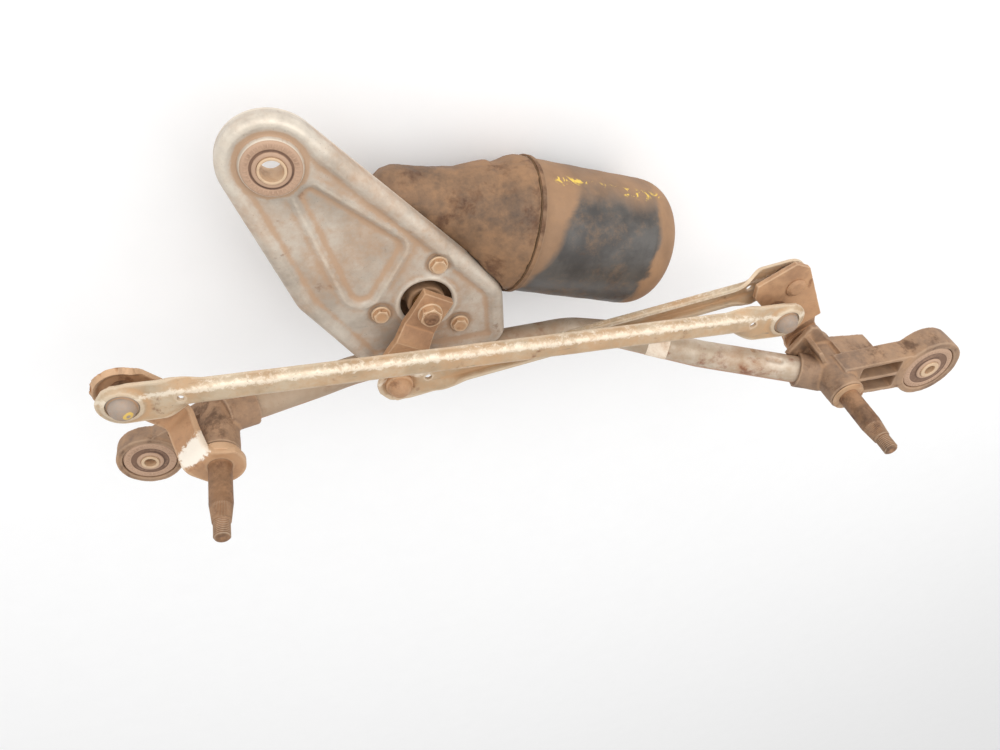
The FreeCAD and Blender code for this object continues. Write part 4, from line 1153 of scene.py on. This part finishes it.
def makeSpindle(side, at, tail, journalTo, seatTo, cone, body, node):
    s = spindleShape
    top = cone + s["knurl"] + s["threadLong"]
    start = cone + s["knurl"]
    low = [(0, tail), (s["journal"] - 0.6, tail), (s["journal"], tail + 0.6), (s["journal"], journalTo),
           (s["seat"], journalTo), (s["seat"], seatTo), (s["body"], seatTo)]
    shaft = [(s["body"], z) for z in np.arange(seatTo + 1.5, cone, 2.0)]
    narrowing = s["thread"] + 0.6 - s["body"]
    slope = [(s["body"] + narrowing * t, cone + s["knurl"] * t) for t in np.linspace(0, 1, 22)]
    thread = [(s["thread"], z) for z in np.arange(start + 0.4, top - 0.8, 0.14)]
    tip = [(s["thread"] - 0.7, top - 0.4), (s["thread"] - 1.6, top - 0.05), (2.0, top), (1.2, top - 0.5),
           (0, top - 0.7)]

    def shape(r, z, angle):
        if cone + 2.5 < z < start - 0.2:                              # knurled cone
            depth = 0.42 * min(1, (z - cone - 2.5) / 2)
            return r - depth * (0.5 + 0.5 * math.cos(s["teeth"] * angle)), z
        if start + 0.3 < z < top - 0.7:                               # thread, with a worn crest
            phase = (z / s["pitch"] - angle / (2 * math.pi)) % 1
            return r - 0.78 * max(0, abs(phase - 0.5) * 2 - 0.15), z
        return r, z

    obj = turnedPiece(side + "SpindleTurned", low + shaft + slope + thread + tip, at, s["teeth"] * 4, shape)
    settle(obj, finishes["spindleSteel"], body, [node], 0.0008, 1, 70.0)


makeSpindle("left", (0, 0), -62.5, -10.0, 0.0, 28.4, "left_pivot", "left_spindle")
makeSpindle("right", linkage["rightPivot"], -47.5, 20.7, 22.0, 49.0, "right_pivot", "right_spindle")


# ball joints

cupShape = {"outer": 8.0, "neck": 9.2, "under": 11.0, "pole": 9.2}


def dome(outer, top, fromAngle=14):
    return [(outer * math.cos(math.radians(a)), outer * math.sin(math.radians(a)) * top)
            for a in range(fromAngle, 90, 6)]


def makeCup(name, at, face, look, body, node, open_=False):
    s = cupShape
    if open_:
        outside = [(0, 0), (9.9, 0), (9.9, -2.5), (12.9, -2.5), (12.9, -3.7), (11.4, -4.9)]
        outside += [(r, -2.5 - z) for r, z in dome(s["neck"], 1.0)] + [(0, -2.5 - s["neck"])]
        outside = outside[::-1]
    else:
        under = [(0, -5.3), (5.5, -5.4), (s["under"], -5.4), (s["under"], -4.2), (9.2, -2.4)]
        neck = [(s["neck"], 0.6), (s["neck"] - 0.5, 1.5), (s["outer"] + 0.1, 2.0)]
        rise = [(r, 1.2 + z * 0.99) for r, z in dome(s["outer"], 1.0, 10)]
        outside = under + neck + rise + [(0, s["pole"])]
    obj = turnedPiece(name, roundedProfile(outside, 0.5), at, 72)
    obj.data.transform(Matrix.Translation((0, 0, face * mm)))
    settle(obj, look, body, [node], 0.002)


def leftCupFinish():
    # small ring of yellow paint near the top of the dome
    look = looks["cupPlastic"]
    stack = startFinish("leftCupPlastic", look)
    tree = stack["tree"]
    centre = ((leftBall[0] + 3.2) * mm, (leftBall[1] - 1.5) * mm, (levels["longRod"] + 8.0) * mm)
    offset = addNode(tree, "ShaderNodeVectorMath", {0: stack["place"], 1: centre}, operation="DISTANCE")
    off = sums(tree, "ABSOLUTE", sums(tree, "SUBTRACT", offset.outputs["Value"], 0.0021))
    wobble = sums(tree, "MULTIPLY", noiseAt(tree, stack["place"], 500.0), 0.0009)
    ring = remap(tree, sums(tree, "SUBTRACT", off, wobble), 0.0002, 0.0006, 1.0, 0.0)
    layer(stack, ring, srgb(214, 178, 84), 0.5, 0.0)
    return closeFinish(stack, look)


makeCup("longRodLeftCup", leftBall, levels["longRod"], leftCupFinish(), "long_rod", "long_rod_left_cup")
makeCup("longRodRightCup", rightBall, levels["longRod"], finishes["cupPlastic"], "long_rod",
        "long_rod_right_cup")
makeCup("crankRodMotorCup", linkage["crankBall"], levels["crankRod"], finishes["leverSteel"], "crank_rod",
        "crank_rod_motor_cup")
makeCup("crankRodLeverCup", driveBall, levels["crankRod"], finishes["cupPlastic"], "crank_rod",
        "crank_rod_lever_cup", True)
print("stage: spindles and ball joints")


# bolts and nuts

def hexSolid(name, across, low, top, washer, shank=None):
    # six flats, with the corners turned off in a shallow cone at the top
    half = across / 2
    start = low + washer[1]
    base = [(0, low)] if not shank else [(0, low - shank[1]), (shank[0], low - shank[1]), (shank[0], low)]
    rows = base + [(washer[0], low), (washer[0], start - 0.3), (washer[0] - 0.3, start)]
    rows += [(half, start), (half, (start + top) / 2)]
    rows += [(half, top - d) for d in (1.1, 0.65, 0.5, 0.35, 0.2, 0.08, 0)]
    rows += [(half * 0.93, top + 0.02), (half * 0.6, top), (half * 0.5, top - 0.12), (0, top - 0.15)]

    def shape(r, z, angle):
        if r != half:
            return r, z
        around = (angle % (math.pi / 3)) - math.pi / 6
        return min(half / math.cos(around), half * 0.97 + (top - z) * 1.9), z
    return turnedPiece(name, rows, segments=72, shape=shape)


def makeBolts():
    seat = levels["plate"] - 2.4
    spots = [(x, y, seat) for x, y in platePlaces()]
    host = meshPiece("boltSpots", spots, [])
    part = hexSolid("boltPart", 9.2, 0.0, 4.0, (6.4, 1.2), (2.95, 12.8))
    obj = grown(host, "copies", "motorBoltsTurned", Part=part, Material=finishes["boltSteel"], Seed=3,
                Turn=1.05)
    settle(obj, finishes["boltSteel"], "frame", ["motor_bolts"], 0.0014, 2, 35.0)


def makeCrankNut():
    low = levels["crankArm"]
    obj = hexSolid("crankNutTurned", 13.0, low, low + 6.0, (8.2, 1.2))
    moved(obj, 12.0, (*linkage["crankAxis"], 0))
    settle(obj, finishes["boltSteel"], "crank", ["crank_nut"], 0.0014, 2, 35.0)


makeBolts()
makeCrankNut()
print("stage: bolts and nut")


# gear motor

motor = {"turn": -19.4, "offset": 50.0, "level": -104.0, "canRadius": 45.2, "from": 54.0, "long": 113.0,
         "endRadius": 22.0}


def onMotor(obj):
    # local +Z runs along the armature and local +X points across it, in the plane of the plate
    foot = polar(motor["offset"], motor["turn"] + 90, linkage["crankAxis"])
    a = math.radians(motor["turn"])
    along = Vector((math.cos(a), math.sin(a), 0))
    up = Vector((0, 0, 1))
    side = up.cross(along)
    place = Matrix((side, up, along)).transposed().to_4x4()
    place.translation = Vector((foot[0], foot[1], motor["level"])) * mm
    obj.data.transform(place)
    obj.data.update()
    return obj


def canFinish():
    look = looks["canPaint"]
    stack = startFinish("canPaint", look)
    tree = stack["tree"]
    a = math.radians(motor["turn"])
    along = addNode(tree, "ShaderNodeVectorMath", {0: stack["place"], 1: (math.cos(a), math.sin(a), 0)},
                    operation="DOT_PRODUCT").outputs["Value"]
    foot = polar(motor["offset"], motor["turn"] + 90, linkage["crankAxis"])
    start = (foot[0] * math.cos(a) + foot[1] * math.sin(a)) * mm
    ragged = sums(tree, "MULTIPLY", noiseAt(tree, stack["place"], 22.0, 7.0, 0.6, 0.8), 0.03)
    reach = sums(tree, "ADD", sums(tree, "SUBTRACT", along, start), ragged)
    end = (motor["from"] + motor["long"]) * mm
    rear = remap(tree, reach, end - 0.014, end - 0.008)
    across = addNode(tree, "ShaderNodeVectorMath", {0: stack["place"], 1: (-math.sin(a), math.cos(a), 0)},
                     operation="DOT_PRODUCT").outputs["Value"]
    middle = (-foot[0] * math.sin(a) + foot[1] * math.cos(a)) * mm
    rise = sums(tree, "ADD", sums(tree, "SUBTRACT", across, middle), sums(tree, "MULTIPLY", ragged, 0.5))
    top = remap(tree, rise, 0.042, 0.052)
    slanted = sums(tree, "MULTIPLY_ADD", rise, -0.35, reach)
    front = remap(tree, slanted, (motor["from"] + 20) * mm, (motor["from"] + 27) * mm, 1.0, 0.0)
    brown = mixColour(tree, noiseAt(tree, stack["place"], 46.0, 6.0), srgb(176, 136, 100), srgb(120, 92, 68))
    for mask, share in ((front, 0.8), (top, 0.75), (rear, 0.92)):
        layer(stack, sums(tree, "MULTIPLY", mask, share), brown, 0.75, 0.0)
    # smears of yellow paint in a line along the upper side
    line = remap(tree, sums(tree, "ABSOLUTE", sums(tree, "SUBTRACT", rise, 0.0515)), 0.0012, 0.0026, 1.0, 0.0)
    blobs = remap(tree, noiseAt(tree, stack["place"], 120.0, 5.0, 0.65, 1.4), 0.56, 0.59)
    side = addNode(tree, "ShaderNodeSeparateXYZ", {0: stack["place"]}).outputs["Z"]
    facing = remap(tree, side, -0.098, -0.094)
    ends = remap(tree, reach, 0.172, 0.182, 1.0, 0.0)
    within = sums(tree, "MULTIPLY", remap(tree, reach, 0.078, 0.084), ends)
    facing = sums(tree, "MULTIPLY", facing, within)
    paint = sums(tree, "MULTIPLY", sums(tree, "MULTIPLY", line, blobs), facing)
    layer(stack, paint, srgb(226, 190, 76), 0.5, 0.0)
    return closeFinish(stack, look)


def makeCan():
    r, start, end = motor["canRadius"], motor["from"], motor["from"] + motor["long"]
    bend, wall = motor["endRadius"], 2.5
    outside = [(r, start + 0.1), (r, start + 4), (r - 0.25, start + 5), (r - 0.1, start + 9)]
    outside += [(r - 0.1 + 0.1 * math.sin(z * 0.3), z) for z in np.arange(start + 12, end - bend - 6, 3.0)]
    # rolled step before the end
    outside += [(r, end - bend - 5), (r, end - bend - 2.5), (r - 0.5, end - bend - 1.6)]
    outside += [(r - bend - 0.2 + bend * math.cos(t), end - bend + bend * math.sin(t))
                for t in np.linspace(0.02, math.pi / 2, 18)]
    cap = [(14.5, end), (13.2, end + 0.4), (13.0, end + 1.8), (12.0, end + 2.5), (0, end + 2.5)]
    inner = bend - wall
    inside = [(0, end - wall), (r - bend - 1, end - wall)]
    inside += [(r - bend + inner * math.cos(t), end - bend + inner * math.sin(t))
               for t in np.linspace(math.pi / 2 - 0.2, 0.05, 9)]
    inside += [(r - wall, start + 0.1)]
    # pole to pole: up the outside from the inside's centre
    profile = inside + outside + cap

    def shape(radius, z, angle):
        if radius < r - 3:
            return radius, z
        dent = noise.noise(Vector((math.cos(angle) * 1.6, math.sin(angle) * 1.6, z * 0.03)))
        return radius + 0.3 * dent - 0.15, z
    obj = onMotor(turnedPiece("motorCanDrawn", profile, segments=144, shape=shape))
    settle(obj, canFinish(), "frame", ["motor_can"], 0.004, 4, 50.0)


makeCan()
print("stage: gear motor")


# finishes for the parts that keep their own shape

kept = {
    "tube_label": "labelPaper", "left_bushes": "bearingBronze", "right_bushes": "bearingBronze",
    "gearbox_cover": "coverPlastic", "cover_screws": "boltSteel", "connector_socket": "coverPlastic",
    "output_bush": "bearingBronze", "can_clamp_ring": "gearboxCasting", "can_screws": "boltSteel",
    "magnets": "coreIron", "brush_plate": "coverPlastic", "brushes": "brushCarbon",
    "armature_bushes": "bearingBronze", "armature_shaft": "spindleSteel", "armature_core": "coreIron",
    "armature_windings": "copperWire", "commutator": "copperWire", "output_shaft": "spindleSteel",
    "worm_wheel": "gearNylon", "crank_ball_stud": "spindleSteel", "left_ball_stud": "spindleSteel",
    "left_circlip": "boltSteel", "right_front_ball_stud": "spindleSteel",
    "right_rear_ball_stud": "leverSteel", "right_washers": "boltSteel",
}


def dressKept():
    for node, look in kept.items():
        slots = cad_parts[node].material_slots
        for entry in slots:
            entry.material = finishes[look]


makeTube()
dressKept()
print("stage: tube and kept parts")


# camera, light and floor

studio = {
    "cameraAt": (0.083678, 0.379252, 0.338226), "lens": 28.8,
    "right": (0.96538, 0.0, 0.26086), "up": (0.18341, 0.71110, -0.67875),
    "back": (-0.18550, 0.70310, 0.68647),
    "keyAt": (0.0, 1.15, 0.75), "keyPower": 10.0, "keySize": 1.3,
    "fillAt": (0.9, 0.5, 0.9), "fillPower": 5.0, "fillSize": 1.2, "sky": 0.8,
}


def areaLight(name, at, power, size, target):
    light = bpy.data.lights.new(name, "AREA")
    light.energy = power
    light.size = size
    obj = bpy.data.objects.new(name, light)
    obj.location = at
    obj.rotation_euler = (Vector(target) - Vector(at)).to_track_quat("-Z", "Y").to_euler()
    bpy.context.collection.objects.link(obj)


def makeStudio():
    s = studio
    camera = bpy.data.cameras.new("camera")
    camera.lens = s["lens"]
    camera.sensor_width = 36.0
    camera.clip_start = 0.01
    obj = bpy.data.objects.new("camera", camera)
    bpy.context.collection.objects.link(obj)
    turn = Matrix((s["right"], s["up"], s["back"])).transposed().to_4x4()
    obj.matrix_world = Matrix.Translation(s["cameraAt"]) @ turn
    bpy.context.scene.camera = obj
    centre = (Vector(cadBox[0]) + Vector(cadBox[1])) / 2
    areaLight("keyLight", s["keyAt"], s["keyPower"], s["keySize"], centre)
    areaLight("fillLight", s["fillAt"], s["fillPower"], s["fillSize"], centre)
    world = bpy.data.worlds.new("studio")
    bpy.context.scene.world = world
    world.use_nodes = True
    world.node_tree.nodes["Background"].inputs["Color"].default_value = (1, 1, 1, 1)
    world.node_tree.nodes["Background"].inputs["Strength"].default_value = s["sky"]
    bpy.context.scene.view_settings.view_transform = "Standard"
    low = cadBox[0][2]
    floor = meshPiece("floor", [(-9000, -9000, low / mm), (9000, -9000, low / mm), (9000, 9000, low / mm),
                                (-9000, 9000, low / mm)], [(0, 1, 2, 3)])
    material = bpy.data.materials.new("floorPaper")
    material.use_nodes = True
    tree = material.node_tree
    place = addNode(tree, "ShaderNodeTexCoord").outputs["Object"]
    speck = mixColour(tree, noiseAt(tree, place, 40.0, 4.0), (0.93, 0.93, 0.93, 1), (0.96, 0.96, 0.96, 1))
    tree.links.new(speck, tree.nodes["Principled BSDF"].inputs["Base Color"])
    tree.nodes["Principled BSDF"].inputs["Roughness"].default_value = 0.9
    floor.data.materials.append(material)


makeStudio()
print("stage: studio")
